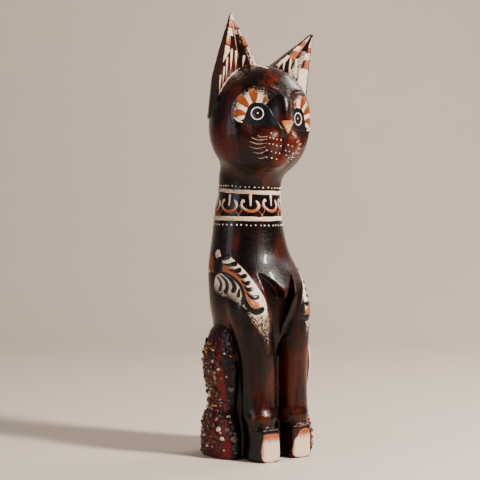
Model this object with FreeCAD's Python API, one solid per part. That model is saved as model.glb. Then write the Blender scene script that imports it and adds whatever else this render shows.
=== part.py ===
"""Carved and painted wooden cat figurine, sitting upright, 400 mm tall.

The wood is one carved block: torso with neck, head, ears, forelegs, haunches, hind feet and tail.
Everything put on the wood is a node of its own: raised paint films, relief dots, the textured paste on
the haunches and the mineral chips set in it. Films that lie on another film sit one film higher.

Frame: +Z up, the cat faces -Y and its left side is +X. The origin is on the resting face, below the torso.
Millimetres.
"""
import FreeCAD
import Part
import math
import os
import random

Vector = FreeCAD.Vector

# Driving dimensions
PAINT = 0.5             # how far one brushed paint film stands off what it lies on
PASTE = 1.2             # textured paste on the haunches
HEAD_ROLL = 6.0         # degrees, the head leans to the cat's left
HEAD_TURN = 4.0         # degrees, the head looks to the cat's right
HEAD_PIVOT = Vector(0, 0, 290)
NECK_Y = 15.0           # the neck's axis stands this far behind the origin
SECTION_POINTS = 24     # interpolation points round a lofted section
SIDES = {"right": -1, "left": 1}

# Lofted sections: height, centre x, centre y, half-width, half-depth
TORSO = [
    (0, 0, 10, 41, 34), (30, 0, 11, 40, 34), (60, 0, 11, 39, 34), (100, 0, 9, 38, 34.5),
    (120, 0, 5, 39.5, 37.5), (135, 0, 3, 43, 41), (150, 0, 2.5, 44.3, 42.5), (165, -1, 6.5, 42.6, 39.5),
    (182, -2, 12, 37.6, 35.2), (197, -2, 14, 34, 33), (215, -2, 15, 31, 31), (241, 0, NECK_Y, 28, 29.5),
    (256, 0, 13, 28.5, 30), (272, 0, 8, 27, 28.5), (290, 0, 4, 22, 23),
]
NECK_ROWS = TORSO[-6:-2]
RIGHT_FORELEG = [
    (0, -19, -30, 12, 15.5), (26, -19, -29.5, 12.5, 15), (36, -18.5, -28, 15, 15),
    (60, -18, -26.5, 15.5, 14.5), (95, -19, -25, 16.5, 16), (122, -23, -21, 18, 18.5),
    (142, -26, -17, 17, 20.5), (157, -25, -12, 14.5, 18.5), (172, -23, -4, 10, 13),
]
LEFT_FORELEG = [
    (0, 22.5, -22.5, 11, 15.5), (26, 22.5, -23.5, 11.5, 15), (36, 21.5, -23, 13.4, 15),
    (60, 20.8, -23, 13.5, 14.5), (95, 20.8, -23.5, 14.3, 16), (122, 21.3, -20.5, 16.3, 18),
    (142, 22, -17, 16, 20), (157, 22, -12, 14, 17.5), (172, 21, -4, 10, 13),
]
FORELEGS = {"right": RIGHT_FORELEG, "left": LEFT_FORELEG}
TAIL = [
    (0, 2, 40, 9.5, 9.5), (30, 1, 41, 8.5, 8.5), (60, -1, 41.5, 7.5, 7.5), (85, -5, 41.5, 6, 6),
    (104, -11, 40.5, 3.5, 4),
]
RIGHT_HAUNCH = [
    (0, -37, 6, 10.2, 25), (16, -37, 6, 10.8, 26.5), (32, -36.5, 7, 10, 24), (47, -34, 8, 7.6, 19),
    (62, -34.5, 7.5, 8.6, 21), (84, -36, 7, 10.6, 23.5), (104, -35, 6, 10, 21), (118, -33, 5, 6.5, 14),
    (124, -32, 5, 3, 7),
]
LEFT_HAUNCH = [
    (0, 37, 3, 11, 28), (16, 37, 3, 11.8, 29.5), (32, 36.5, 4, 10.5, 26), (47, 36, 5, 9.2, 22),
    (62, 36.5, 4.5, 10.8, 25), (84, 37.5, 4, 12.5, 27), (104, 36, 4, 11, 24), (118, 33, 4, 6.5, 15.5),
    (124, 32, 4, 3, 7.5),
]
HAUNCHES = {"right": RIGHT_HAUNCH, "left": LEFT_HAUNCH}

# Ellipsoids: centre, radii
SKULL = (Vector(-0.5, 0.5, 308), Vector(45.5, 45, 46))
JAW = (Vector(0, 0, 286), Vector(42.5, 38, 35))
MUZZLE_LOBE = (Vector(8.8, -34, 283.5), Vector(12.2, 11.5, 12.5))
BROW_RIDGE = (Vector(0, -31, 305), Vector(9.5, 16.5, 23))
CHIN = (Vector(0, -27, 268), Vector(12, 12, 9))
CHEST_HOLLOW_Y = -28.0          # how far back the hollows beside the chest reach
PAWS = {"right": Vector(-19.2, -35, 15), "left": Vector(19.2, -27.5, 15)}
PAW_HALF = Vector(10.2, 13.5, 15)
KNUCKLE = Vector(13.5, 11.5, 8.5)

# A shallow dish in the face holds each eye
EYE = Vector(21.0, -30.5, 307.0)
EYE_TURN = 25.0         # degrees, outward
EYE_TILT = 5.0          # degrees, upward
DISH_RADIUS = 80.0
EYE_RING = (6.3, 5.1)   # outer and inner radius
EYE_GLINT = 1.0
FAN_RADII = (9.0, 22.5)
FAN_ANGLES = (70.0, 200.0)  # degrees round the eye, 0 towards the nose
FAN_PETALS = 4

# Ears: a blade behind the frontal plane of the head, its outer edge in line with the side of the skull
EAR_TIP = {"right": (39.4, 396.5), "left": (47.2, 389.0)}     # x and height, on the front
EAR_SHOULDER_Z = 324.0          # below this the outer edge is upright
EAR_ROOT_Z = 302.0
EAR_OUTER_X = 46.8
EAR_INNER = (4.0, 350.0)
EAR_ROOT_DEPTH = 26.0
EAR_TIP_DEPTH = 2.5
EAR_CREASE_DEPTH = 3.5
EAR_PAINT_ROOT_Z = 326.0
EAR_STROKES = 7

# Collar: two bands, two rows of relief dots, and scroll motifs between them
BAND_HEIGHT = 3.6
UPPER_BAND_Z = 237.7
LOWER_BAND_Z = 213.6
DOT_RADIUS = 0.75
UPPER_DOTS = (43, 243.6)
LOWER_DOTS = (46, 209.5)
MOTIFS = 9
SCROLL_Z = 224.0
SCROLL_RADIUS = 7.6
SCROLL_WIDTH = 2.6
DIAMOND = 2.2

# Outlines on the shoulder, as (across, height); across runs forwards round the shoulder
SHOULDER_TURN = 34.0    # degrees, the way the outlines face
PLUME = [
    (-27, 181), (-20, 184), (-8, 172), (3, 156), (8, 142), (10, 122), (14, 98), (9, 104), (0, 128),
    (-9, 131), (-20, 146), (-31, 143), (-30, 158), (-35, 168),
]
SPINE = [(-24, 168), (-14, 160), (-5, 147), (0, 135), (3, 129), (-2, 127), (-9, 139), (-16, 152)]
COMMAS = [(-23, 174), (-17, 169), (-11, 164), (-6, 159), (-2, 153), (0, 147), (4, 141)]
COMMA = [(-5, 1.5), (-2, -0.6), (1.5, -1.6), (4, 0), (2.5, 1.8), (0, 0.8)]
CURL = [(-12, 140), (-6, 128), (2, 124), (7, 127), (6, 131), (1, 128), (-5, 132)]
LEFT_PLUME_DROP = 9.0
LEAF = [(40, 112), (50, 96), (53, 80), (47, 84), (41, 98)]

# Toes, whiskers and muzzle dots
TOE_FILM = (9.6, 1.0, 26.0)     # half-width, lowest and highest
WHISKERS = 7
WHISKER = [(-7, 1.0), (-3, -0.2), (3, -0.6), (7, 0.4), (7, 1.1), (3, 0.2), (-3, 0.6), (-7, 1.6)]
MUZZLE_GRID = (4, 4)
MUZZLE_DOT = 0.65
NOSE = [(-6.2, 303), (6.2, 303), (2, 294), (0, 292.5), (-2, 294)]

# Chips in the paste: how many of each colour on each side, and their size
CHIPS = {"cream": 22, "amber": 16, "dark": 40}
CHIP_SIZE = (1.6, 3.4)
CHIP_RISE = 1.3


def section(z, cx, cy, a, b, grow=0.0):
    """A closed smooth wire round an ellipse, grown outward by grow."""
    points = []
    for k in range(SECTION_POINTS):
        t = 2 * math.pi * k / SECTION_POINTS
        points.append(Vector(cx + (a + grow) * math.cos(t), cy + (b + grow) * math.sin(t), z))
    curve = Part.BSplineCurve()
    curve.interpolate(points, True)
    return Part.Wire(curve.toShape())


def loft(rows, grow=0.0):
    return Part.makeLoft([section(*row, grow) for row in rows], True, False, False, 3)


def ellipsoid(centre, radii, grow=0.0):
    ball = Part.makeSphere(1.0)
    stretch = FreeCAD.Matrix()
    stretch.scale(radii.x + grow, radii.y + grow, radii.z + grow)
    ball = ball.transformGeometry(stretch)
    ball.translate(centre)
    return ball


def mirrored(v, side):
    return Vector(SIDES[side] * v.x, v.y, v.z)


def prism(points, reach):
    """The solid swept by a closed polygon of points along the vector reach."""
    return Part.Face(Part.makePolygon(points + [points[0]])).extrude(reach)


def lean(shape):
    """Turns and leans a piece of the head, built upright and facing forwards, with the head."""
    leaned = shape.copy()
    leaned.rotate(HEAD_PIVOT, Vector(0, 0, 1), -HEAD_TURN)
    leaned.rotate(HEAD_PIVOT, Vector(0, 1, 0), HEAD_ROLL)
    return leaned


def tetrahedron(a, b, c, d):
    corners = ((a, b, c), (a, b, d), (b, c, d), (a, c, d))
    return Part.makeSolid(Part.makeShell([Part.Face(Part.makePolygon([p, q, r, p])) for p, q, r in corners]))


# ---------------------------------------------------------------- the carved block

def ear(side, grow):
    """A blade with a slanting back and a front hollowed to a crease that runs down from the tip."""
    tip_x, tip_z = EAR_TIP[side]
    s = SIDES[side]
    inner_x, inner_z = EAR_INNER
    front = [
        (EAR_OUTER_X, EAR_ROOT_Z), (EAR_OUTER_X, EAR_SHOULDER_Z), (tip_x + 1.0, tip_z),
        (tip_x - 1.8, tip_z), (inner_x, inner_z), (inner_x, EAR_ROOT_Z),
    ]
    blade = prism([Vector(s * x, -grow, z) for x, z in front], Vector(0, EAR_ROOT_DEPTH + grow, 0))
    profile = [(-grow, EAR_ROOT_Z), (-grow, tip_z), (EAR_TIP_DEPTH, tip_z), (EAR_ROOT_DEPTH, EAR_ROOT_Z)]
    blade = blade.common(prism([Vector(-60, y, z) for y, z in profile], Vector(120, 0, 0)))
    plan = Part.Face(section(EAR_ROOT_Z - 5, 0, 0.5, EAR_OUTER_X + 1.6, SKULL[1].y, grow))
    blade = blade.common(plan.extrude(Vector(0, 0, 120)))
    tip = Vector(s * (tip_x - 0.6), -grow - 0.01, tip_z - 5)
    outer = Vector(s * (EAR_OUTER_X - 3.5), -grow - 0.01, 322)
    inner = Vector(s * (inner_x + 6), -grow - 0.01, inner_z - 3)
    crease = Vector(s * 30, EAR_CREASE_DEPTH + 4 - grow, 340)
    return blade.cut(tetrahedron(tip, outer, inner, crease))


def eye_frame(side):
    """Placement at the middle of one eye, with local Y up and local Z pointing out of the wood."""
    turn = FreeCAD.Rotation(Vector(0, 0, 1), SIDES[side] * EYE_TURN)
    tilt = FreeCAD.Rotation(Vector(1, 0, 0), -EYE_TILT)
    stand = FreeCAD.Rotation(Vector(1, 0, 0), 90)
    return FreeCAD.Placement(mirrored(EYE, side), turn.multiply(tilt).multiply(stand))


def head(grow=0.0):
    """Skull and jaw with a dish for each eye, a brow ridge down to the nose, muzzle lobes, chin and ears."""
    skull = ellipsoid(*SKULL, grow).fuse(ellipsoid(*JAW, grow))
    for side in SIDES:
        middle = eye_frame(side).multVec(Vector(0, 0, DISH_RADIUS))
        skull = skull.cut(Part.makeSphere(DISH_RADIUS - grow, middle))
    lobes = [ellipsoid(mirrored(MUZZLE_LOBE[0], s), MUZZLE_LOBE[1], grow) for s in SIDES]
    ridge = ellipsoid(*BROW_RIDGE, grow)
    chin = ellipsoid(*CHIN, grow)
    return skull.fuse(lobes + [ridge, chin] + [ear(s, grow) for s in SIDES])


def paw(side, grow=0.0):
    """A blunt toe block with rounded upright edges, and the knuckle above it."""
    centre = PAWS[side]
    half = PAW_HALF + Vector(grow, grow, 0)
    toe = Part.makeBox(2 * half.x, 2 * half.y, 2 * half.z, centre - half)
    front_y = centre.y - half.y + 1
    toe = toe.makeFillet(3.0, [e for e in toe.Edges if e.BoundBox.YMin < front_y and e.BoundBox.ZMax > 1])
    return [toe, ellipsoid(centre + Vector(0, 0.5, 23), KNUCKLE, grow)]


def chest_hollows():
    """Two leaf-shaped hollows beside the pointed chest, which meet above the gap between the forelegs."""
    outline = [
        (-19, 167), (-7, 159.5), (0.5, 151.5), (2.2, 144), (7.5, 154), (16.5, 166.5), (14, 150), (5, 122),
        (3, 105), (-3, 108), (-8.5, 130), (-17, 150),
    ]
    return prism([Vector(x, -70, z) for x, z in outline], Vector(0, 70 + CHEST_HOLLOW_Y, 0))


def floor():
    return Part.makeBox(200, 200, 50, Vector(-100, -100, -50))


def carve():
    """The whole carved block."""
    lumps = [loft(rows) for rows in (*FORELEGS.values(), TAIL)]
    for side in SIDES:
        lumps.append(loft(HAUNCHES[side]))
        lumps += paw(side)
    body = loft(TORSO).fuse(lumps).cut(chest_hollows()).fuse(lean(head()))
    return body.cut(floor())


# ---------------------------------------------------------------- collar

def neck_radii(z):
    """Centre and half-axes of the neck at one height."""
    for low, high in zip(NECK_ROWS, NECK_ROWS[1:]):
        if z <= high[0]:
            f = (z - low[0]) / (high[0] - low[0])
            return [p + f * (q - p) for p, q in zip(low, high)][1:]
    return NECK_ROWS[-1][1:]


def neck_point(angle, z):
    cx, cy, a, b = neck_radii(z)
    return Vector(cx + a * math.sin(angle), cy - b * math.cos(angle), z)


def band(z, height):
    """A painted ring round the neck."""
    slab = Part.makeBox(120, 120, height, Vector(-60, -60, z))
    return loft(NECK_ROWS, PAINT).cut(loft(NECK_ROWS)).common(slab)


def dome(radius, point, out):
    """One relief dot, a half ball standing on the skin."""
    return Part.makeSphere(radius, point, out, 0, 90, 360)


def dot_row(count, z):
    """Relief dots evenly round the neck."""
    domes = []
    for k in range(count):
        angle = 2 * math.pi * k / count
        domes.append(dome(DOT_RADIUS, neck_point(angle, z), Vector(math.sin(angle), -math.cos(angle), 0)))
    return Part.makeCompound(domes)


def neck_motifs(outline, half_turn=0.0):
    """One outline, as (across, height), cut into the neck's paint film at each motif."""
    film = loft(NECK_ROWS, PAINT).cut(loft(NECK_ROWS))
    pieces = []
    for k in range(MOTIFS):
        angle = 2 * math.pi * (k + half_turn) / MOTIFS
        right = Vector(math.cos(angle), math.sin(angle), 0)
        out = Vector(math.sin(angle), -math.cos(angle), 0)
        points = [Vector(0, NECK_Y, 0) + right * x + Vector(0, 0, z) for x, z in outline]
        pieces.append(film.common(prism(points, out * 60)))
    return Part.makeCompound(pieces)


def arc_points(radius, start, end, steps, centre=(0.0, 0.0)):
    """Points on an arc from start to end degrees."""
    angles = [math.radians(start + (end - start) * k / steps) for k in range(steps + 1)]
    return [(centre[0] + radius * math.cos(t), centre[1] + radius * math.sin(t)) for t in angles]


def crescent(outer, inner):
    """A U open at the top, between two radii."""
    middle = (0.0, SCROLL_Z + 2)
    return arc_points(outer, -190, 10, 12, middle) + arc_points(inner, 10, -190, 12, middle)


def collar():
    drop = [(-0.9, UPPER_BAND_Z), (0.9, UPPER_BAND_Z), (0.7, SCROLL_Z + 6), (-0.7, SCROLL_Z + 6)]
    low = LOWER_BAND_Z + BAND_HEIGHT + 2.2
    diamond = [(-DIAMOND, low), (0, low - 1.6), (DIAMOND, low), (0, low + 1.6)]
    return {
        "collar_upper_band": band(UPPER_BAND_Z, BAND_HEIGHT),
        "collar_lower_band": band(LOWER_BAND_Z, BAND_HEIGHT),
        "collar_upper_dots": dot_row(*UPPER_DOTS),
        "collar_lower_dots": dot_row(*LOWER_DOTS),
        "collar_scrolls": neck_motifs(crescent(SCROLL_RADIUS, SCROLL_RADIUS - SCROLL_WIDTH)),
        "collar_drops": neck_motifs(drop),
        "collar_diamonds": neck_motifs(diamond, 0.5),
    }


# ---------------------------------------------------------------- face

def on_eye(side, outline, skin):
    """An outline round one eye, as (towards the nose, up), cut into a paint film of the head."""
    place = eye_frame(side)
    points = [place.multVec(Vector(-SIDES[side] * x, y, -12)) for x, y in outline]
    return skin.common(prism(points, place.Rotation.multVec(Vector(0, 0, 30))))


def on_front(outline, skin, near=-70.0, far=-20.0):
    """An outline as (x, z), cut into a paint film of the head from the front."""
    return skin.common(prism([Vector(x, near, z) for x, z in outline], Vector(0, far - near, 0)))


def fan_outline(start, end, inner, outer):
    return arc_points(outer, start, end, 8) + arc_points(inner, end, start, 8)


def eye_pieces(side, film, upper_film):
    patch = [
        (-10.7, -9.7), (-10.1, 1.7), (-6.6, 8.6), (-1.1, 10.2), (4.7, 9.9), (10.8, 5.2), (14.7, -1.8),
        (19, -9), (16, -11), (12.9, -10.1), (4.8, -10),
    ]
    ground = on_eye(side, fan_outline(*FAN_ANGLES, FAN_RADII[0], FAN_RADII[1]), film)
    black = on_eye(side, patch, film)
    pitch = (FAN_ANGLES[1] - FAN_ANGLES[0]) / FAN_PETALS
    petals = []
    for k in range(FAN_PETALS):
        middle = FAN_ANGLES[0] + (k + 0.5) * pitch
        outline = fan_outline(middle - pitch / 4, middle + pitch / 4, FAN_RADII[0] + 3, FAN_RADII[1] - 3)
        petals.append(on_eye(side, outline, upper_film))
    ring = on_eye(side, arc_points(EYE_RING[0], 0, 340, 17), upper_film)
    ring = ring.cut(on_eye(side, arc_points(EYE_RING[1], 0, 340, 17), upper_film))
    glint = on_eye(side, arc_points(EYE_GLINT, 0, 315, 7), upper_film)
    return {
        "brow_fan": ground.cut(black),
        "brow_petals": Part.makeCompound(petals),
        "eye_patch": black,
        "eye_ring": ring,
        "eye_glint": glint,
    }


def muzzle_dots(side, skull):
    """Rows of dots on one muzzle lobe, each on its skin."""
    columns, rows = MUZZLE_GRID
    centre = mirrored(MUZZLE_LOBE[0], side)
    domes = []
    for i in range(columns):
        for j in range(rows):
            x = SIDES[side] * (4.0 + 3.6 * i)
            z = 290.0 - 4.2 * j - 0.6 * i
            ray = Part.makeLine(Vector(x, -80, z), Vector(x, -20, z))
            hits = skull.common(ray).Vertexes
            point = min((v.Point for v in hits), key=lambda p: p.y)
            domes.append(dome(MUZZLE_DOT, point, point - centre))
    return Part.makeCompound(domes)


def whiskers(side, film):
    """Fine curved lines on the cheek."""
    lines = []
    for k in range(WHISKERS):
        rise = 9.0 - 3.6 * k
        lines.append(on_eye(side, [(x + 2.0, y - 24.0 + rise) for x, y in WHISKER], film))
    return Part.makeCompound(lines)


def ear_outline(side):
    tip_x, tip_z = EAR_TIP[side]
    s = SIDES[side]
    rim = [(s * 8, 353), (s * 24, 349.5), (s * 37, 338), (s * 45.5, EAR_PAINT_ROOT_Z)]
    return [(s * (tip_x + 0.4), tip_z - 1), (s * (tip_x - 1), tip_z - 1)] + rim


def ear_strokes(side, film):
    """Teardrop strokes that stand on the rim of the dome."""
    strokes = []
    for k in range(EAR_STROKES):
        f = k / (EAR_STROKES - 1)
        foot = Vector(SIDES[side] * (16 + 26 * f), 0, 352.5 - 17 * f * f)
        tall = 14 - 20 * (f - 0.45) ** 2
        outline = [(-0.6, 0), (-1.4, 0.7 * tall), (0, tall), (1.4, 0.7 * tall), (0.6, 0)]
        strokes.append(on_front([(foot.x + x, foot.z + z) for x, z in outline], film, -10, 10))
    return Part.makeCompound(strokes)


def face():
    """Every painted piece of the head, built upright and leaned with it."""
    skins = [head(), head(PAINT), head(2 * PAINT)]
    film = skins[1].cut(skins[0])
    upper_film = skins[2].cut(skins[1])
    nodes = {"nose_tip": on_front(NOSE, film)}
    for side in SIDES:
        named = eye_pieces(side, film, upper_film)
        named["muzzle_dots"] = muzzle_dots(side, skins[0])
        named["whiskers"] = whiskers(side, film)
        named["ear_paint"] = on_front(ear_outline(side), film, -10, 10)
        named["ear_strokes"] = ear_strokes(side, upper_film)
        nodes.update({"%s_%s" % (side, name): shape for name, shape in named.items()})
    return {name: lean(shape) for name, shape in nodes.items()}


# ---------------------------------------------------------------- shoulders, leaf and toes

def on_shoulder(side, outline, skin, drop=0.0):
    """An outline as (across, height), cut into a paint film from the front quarter of one side."""
    turn = math.radians(SHOULDER_TURN)
    right = Vector(math.cos(turn), -math.sin(turn), 0)
    out = Vector(-math.sin(turn), -math.cos(turn), 0)
    points = [Vector(0, NECK_Y, z - drop) + right * x for x, z in outline]
    if side == "left":
        points = [Vector(-p.x, p.y, p.z) for p in points]
        out = Vector(-out.x, out.y, out.z)
    return skin.common(prism(points, out * 90))


def shoulder(side, grow):
    """The torso with one foreleg, its skin moved outward by grow."""
    return loft(TORSO, grow).fuse(loft(FORELEGS[side], grow)).cut(chest_hollows())


def shoulder_pieces(side):
    skins = [shoulder(side, k * PAINT) for k in range(3)]
    film = skins[1].cut(skins[0])
    upper_film = skins[2].cut(skins[1])
    drop = LEFT_PLUME_DROP if side == "left" else 0.0
    commas = [[(cx + x, cz + z) for x, z in COMMA] for cx, cz in COMMAS]
    strokes = [on_shoulder(side, outline, upper_film, drop) for outline in [CURL] + commas]
    return {
        "shoulder_plume": on_shoulder(side, PLUME, film, drop),
        "plume_spine": on_shoulder(side, SPINE, upper_film, drop).cut(strokes[0]),
        "plume_strokes": Part.makeCompound(strokes),
    }


def toe_paint(side):
    film = paw(side, PAINT)[0].cut(paw(side)[0])
    half, low, high = TOE_FILM
    x = PAWS[side].x
    outline = [(x - half, low), (x + half, low), (x + half, high), (x - half, high)]
    return on_front(outline, film, -70, PAWS[side].y)


def haunch_leaf():
    """A painted leaf on the front of the left thigh."""
    rows = LEFT_HAUNCH
    column = prism([Vector(x, -60, z) for x, z in LEAF], Vector(0, 60, 0))
    return loft(rows, PAINT).common(column).cut([loft(rows), loft(TORSO), loft(LEFT_FORELEG)])


# ---------------------------------------------------------------- paste and chips

def haunch_point(side, turn, z, grow):
    """A point on the haunch's outer skin and the way out; turn is in radians from straight outward."""
    rows = HAUNCHES[side]
    for low, high in zip(rows, rows[1:]):
        if z <= high[0]:
            f = (z - low[0]) / (high[0] - low[0])
            cx, cy, a, b = [p + f * (q - p) for p, q in zip(low, high)][1:]
            out = Vector(SIDES[side] * math.cos(turn) / a, math.sin(turn) / b, 0).normalize()
            point = Vector(cx + SIDES[side] * a * math.cos(turn), cy + b * math.sin(turn), z)
            return point + out * grow, out
    raise ValueError("above the haunch")


def paste(side):
    """The textured coat; on the left it keeps to the foot and the back of the thigh, beside the leaf."""
    rows = HAUNCHES[side]
    coat = loft(rows, PASTE).cut([loft(rows), loft(TORSO), loft(FORELEGS[side])])
    if side == "left":
        coat = coat.cut(Part.makeBox(80, 60, 100, Vector(0, -60, 46)))
    outside = Part.makeBox(40, 120, 140, Vector(34 if side == "left" else -74, -60, 0.3))
    return coat.common(outside)


def chip_group(side, count, dice):
    """Small angular chips, set on the paste."""
    chips = []
    while len(chips) < count:
        z = dice.uniform(6, 112)
        turn = dice.uniform(-0.9, 1.1)
        if side == "left" and z > 42 and turn < 0.1:
            continue
        point, out = haunch_point(side, turn, z, PASTE)
        long_way = dice.uniform(*CHIP_SIZE)
        wide = dice.uniform(*CHIP_SIZE)
        spin = FreeCAD.Rotation(Vector(0, 0, 1), dice.uniform(0, 90))
        chip = Part.makeBox(long_way, wide, CHIP_RISE, Vector(-long_way / 2, -wide / 2, 0))
        chip.Placement = FreeCAD.Placement(point, FreeCAD.Rotation(Vector(0, 0, 1), out).multiply(spin))
        chips.append(chip)
    return Part.makeCompound(chips)


def decorated_haunches():
    nodes = {}
    for side in SIDES:
        nodes["%s_haunch_paste" % side] = paste(side)
        for seed, (colour, count) in enumerate(CHIPS.items()):
            dice = random.Random(10 * seed + SIDES[side])
            nodes["%s_%s_chips" % (side, colour)] = chip_group(side, count, dice)
    return nodes


def save(name, shape):
    shape.exportStep("parts/%s.step" % name)


def main():
    os.makedirs("parts", exist_ok=True)
    nodes = {"carved_block": carve(), "left_haunch_leaf": haunch_leaf()}
    nodes.update(collar())
    nodes.update(face())
    for side in SIDES:
        named = shoulder_pieces(side)
        named["toe_paint"] = toe_paint(side)
        nodes.update({"%s_%s" % (side, name): shape for name, shape in named.items()})
    nodes.update(decorated_haunches())
    for name, shape in nodes.items():
        save(name, shape)


if __name__ == "__main__":
    main()
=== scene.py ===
"""Looks of a carved and painted wooden cat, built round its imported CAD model.

The wood is sculpted as one closed skin from smooth blends of the same sections, balls and blades as the CAD
block. Every painted motif is a thin raised film or brush stroke laid on that skin, the haunches carry a
coat of rough paste, and the chips in it are small angular solids. Lengths are in millimetres until a mesh
is made.
"""
import math
import random

import bpy
import numpy as np
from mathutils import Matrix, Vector, noise
from mathutils.bvhtree import BVHTree
from mathutils.geometry import delaunay_2d_cdt


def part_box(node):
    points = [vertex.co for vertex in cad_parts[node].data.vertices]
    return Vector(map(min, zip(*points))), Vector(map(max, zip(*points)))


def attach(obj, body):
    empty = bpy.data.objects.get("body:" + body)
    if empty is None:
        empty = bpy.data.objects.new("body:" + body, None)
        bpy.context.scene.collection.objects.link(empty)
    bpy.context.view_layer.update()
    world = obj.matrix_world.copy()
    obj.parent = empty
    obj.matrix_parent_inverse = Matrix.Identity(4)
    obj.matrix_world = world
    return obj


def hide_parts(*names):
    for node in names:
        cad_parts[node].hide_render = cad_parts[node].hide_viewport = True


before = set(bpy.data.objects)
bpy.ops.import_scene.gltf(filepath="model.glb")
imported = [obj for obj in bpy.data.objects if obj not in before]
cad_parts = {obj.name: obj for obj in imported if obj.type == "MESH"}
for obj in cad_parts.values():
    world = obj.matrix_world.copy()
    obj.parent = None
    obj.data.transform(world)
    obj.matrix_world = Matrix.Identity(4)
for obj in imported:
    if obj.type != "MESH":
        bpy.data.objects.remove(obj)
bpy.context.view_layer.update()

MM = 0.001
SIDES = {"right": -1, "left": 1}

# The front-quarter view, which the shoulders and the muzzle are painted from, and the camera's
VIEW_TURN = 34.0                # degrees, towards the cat's right
VIEW_AWAY = 1591.0
VIEW_HEIGHT = 272.7

# ---------------------------------------------------------------- measures of the carved block

HEAD_ROLL = 6.0                 # degrees, the head leans to the cat's left
HEAD_TURN = 4.0                 # degrees, the head looks to the cat's right
HEAD_PIVOT = (0.0, 0.0, 290.0)
NECK_Y = 15.0                   # the neck's axis stands this far behind the origin

# Sections: height, centre x, centre y, half-width, half-depth
TORSO = [
    (0, 0, 10, 41, 34), (30, 0, 11, 40, 34), (60, 0, 11, 39, 34), (100, 0, 9, 38, 34.5),
    (120, 0, 5, 39.5, 37.5), (135, 0, 3, 43, 41), (150, 0, 2.5, 44.3, 42.5), (165, -1, 6.5, 42.6, 39.5),
    (182, -2, 12, 37.6, 35.2), (197, -2, 14, 34, 33), (215, -2, 15, 31, 31), (241, 0, NECK_Y, 28, 29.5),
    (256, 0, 13, 28.5, 30), (272, 0, 8, 27, 28.5), (290, 0, 4, 22, 23),
]
RIGHT_FORELEG = [
    (0, -19, -30, 12, 15.5), (26, -19, -29.5, 12.5, 15), (36, -18.5, -28, 15, 15),
    (60, -18, -26.5, 15.5, 14.5), (95, -19, -25, 16.5, 16), (122, -23, -21, 18, 18.5),
    (142, -26, -17, 17, 20.5), (157, -25, -12, 14.5, 18.5), (172, -23, -4, 10, 13),
]
LEFT_FORELEG = [
    (0, 22.5, -22.5, 11, 15.5), (26, 22.5, -23.5, 11.5, 15), (36, 21.5, -23, 13.4, 15),
    (60, 20.8, -23, 13.5, 14.5), (95, 20.8, -23.5, 14.3, 16), (122, 21.3, -20.5, 16.3, 18),
    (142, 22, -17, 16, 20), (157, 22, -12, 14, 17.5), (172, 21, -4, 10, 13),
]
TAIL = [
    (0, 2, 40, 9.5, 9.5), (30, 1, 41, 8.5, 8.5), (60, -1, 41.5, 7.5, 7.5), (85, -5, 41.5, 6, 6),
    (104, -11, 40.5, 3.5, 4),
]
RIGHT_HAUNCH = [
    (0, -37, 6, 10.2, 25), (16, -37, 6, 10.8, 26.5), (32, -36.5, 7, 10, 24), (47, -34, 8, 7.6, 19),
    (62, -34.5, 7.5, 8.6, 21), (84, -36, 7, 10.6, 23.5), (104, -35, 6, 10, 21), (118, -33, 5, 6.5, 14),
    (124, -32, 5, 3, 7),
]
LEFT_HAUNCH = [
    (0, 37, 3, 11, 28), (16, 37, 3, 11.8, 29.5), (32, 36.5, 4, 10.5, 26), (47, 36, 5, 9.2, 22),
    (62, 36.5, 4.5, 10.8, 25), (84, 37.5, 4, 12.5, 27), (104, 36, 4, 11, 24), (118, 33, 4, 6.5, 15.5),
    (124, 32, 4, 3, 7.5),
]

# Balls: centre, radii
SKULL = ((-0.5, 0.5, 308), (45.5, 45, 46))
JAW = ((0, 0, 286), (42.5, 38, 35))
MUZZLE_LOBE = ((8.8, -34, 283.5), (12.2, 11.5, 12.5))
BROW_RIDGE = ((0, -31, 305), (9.5, 16.5, 23))
CHIN = ((0, -27, 268), (12, 12, 9))
# Lines cut under the nose and round the mouth, as (x, y, height)
MOUTH = [
    [(0, -46.8, 294), (0, -45, 287), (0, -43.5, 280), (0, -41, 275)],
    [(0, -41, 275), (5, -42, 271.5), (11, -40, 270.5)],
    [(0, -41, 275), (-5, -42, 271.5), (-11, -40, 270.5)],
]
MOUTH_REACH = 1.7
KNUCKLE_HALF = (13.5, 11.5, 8.5)
PAWS = {"right": (-19.2, -35, 15), "left": (19.2, -27.5, 15)}
PAW_HALF = (10.2, 13.5, 15)

# The face
EYE = (21.0, -30.5, 307.0)
EYE_TURN = 25.0                 # degrees, outward
EYE_TILT = 5.0                  # degrees, upward
DISH_RADIUS = 80.0

# Ears: blades behind the frontal plane of the head
EAR_TIP = {"right": (39.4, 396.5), "left": (47.2, 389.0)}     # x and height, on the front
EAR_INNER = (4.0, 350.0)
EAR_OUTER_X = 46.8
EAR_SHOULDER_Z = 324.0          # below this the outer edge is upright
EAR_ROOT_Z = 302.0
EAR_ROOT_DEPTH = 26.0
EAR_TIP_DEPTH = 2.5
EAR_TIP_SPAN = (-1.4, 0.8)      # the tip's inner and outer edge, from its middle
EAR_HOLLOW = 4.0                # at most this deep, and this share of the width
EAR_HOLLOW_SHARE = 0.16
EAR_LEAST_WIDTH = 2.0
EAR_WALL = 1.6                  # the outer wall stands this far outside the outer edge
EAR_BACK_SLANT = 0.97

# Hollows beside the pointed chest, cut back to one depth, as (x, height)
CHEST_HOLLOWS = [
    (-19, 167), (-7, 159.5), (0.5, 151.5), (2.2, 144), (7.5, 154), (16.5, 166.5), (14, 150), (5, 122),
    (3, 105), (-3, 108), (-8.5, 130), (-17, 150),
]
CHEST_HOLLOW_Y = -28.0          # how far back they reach

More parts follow.
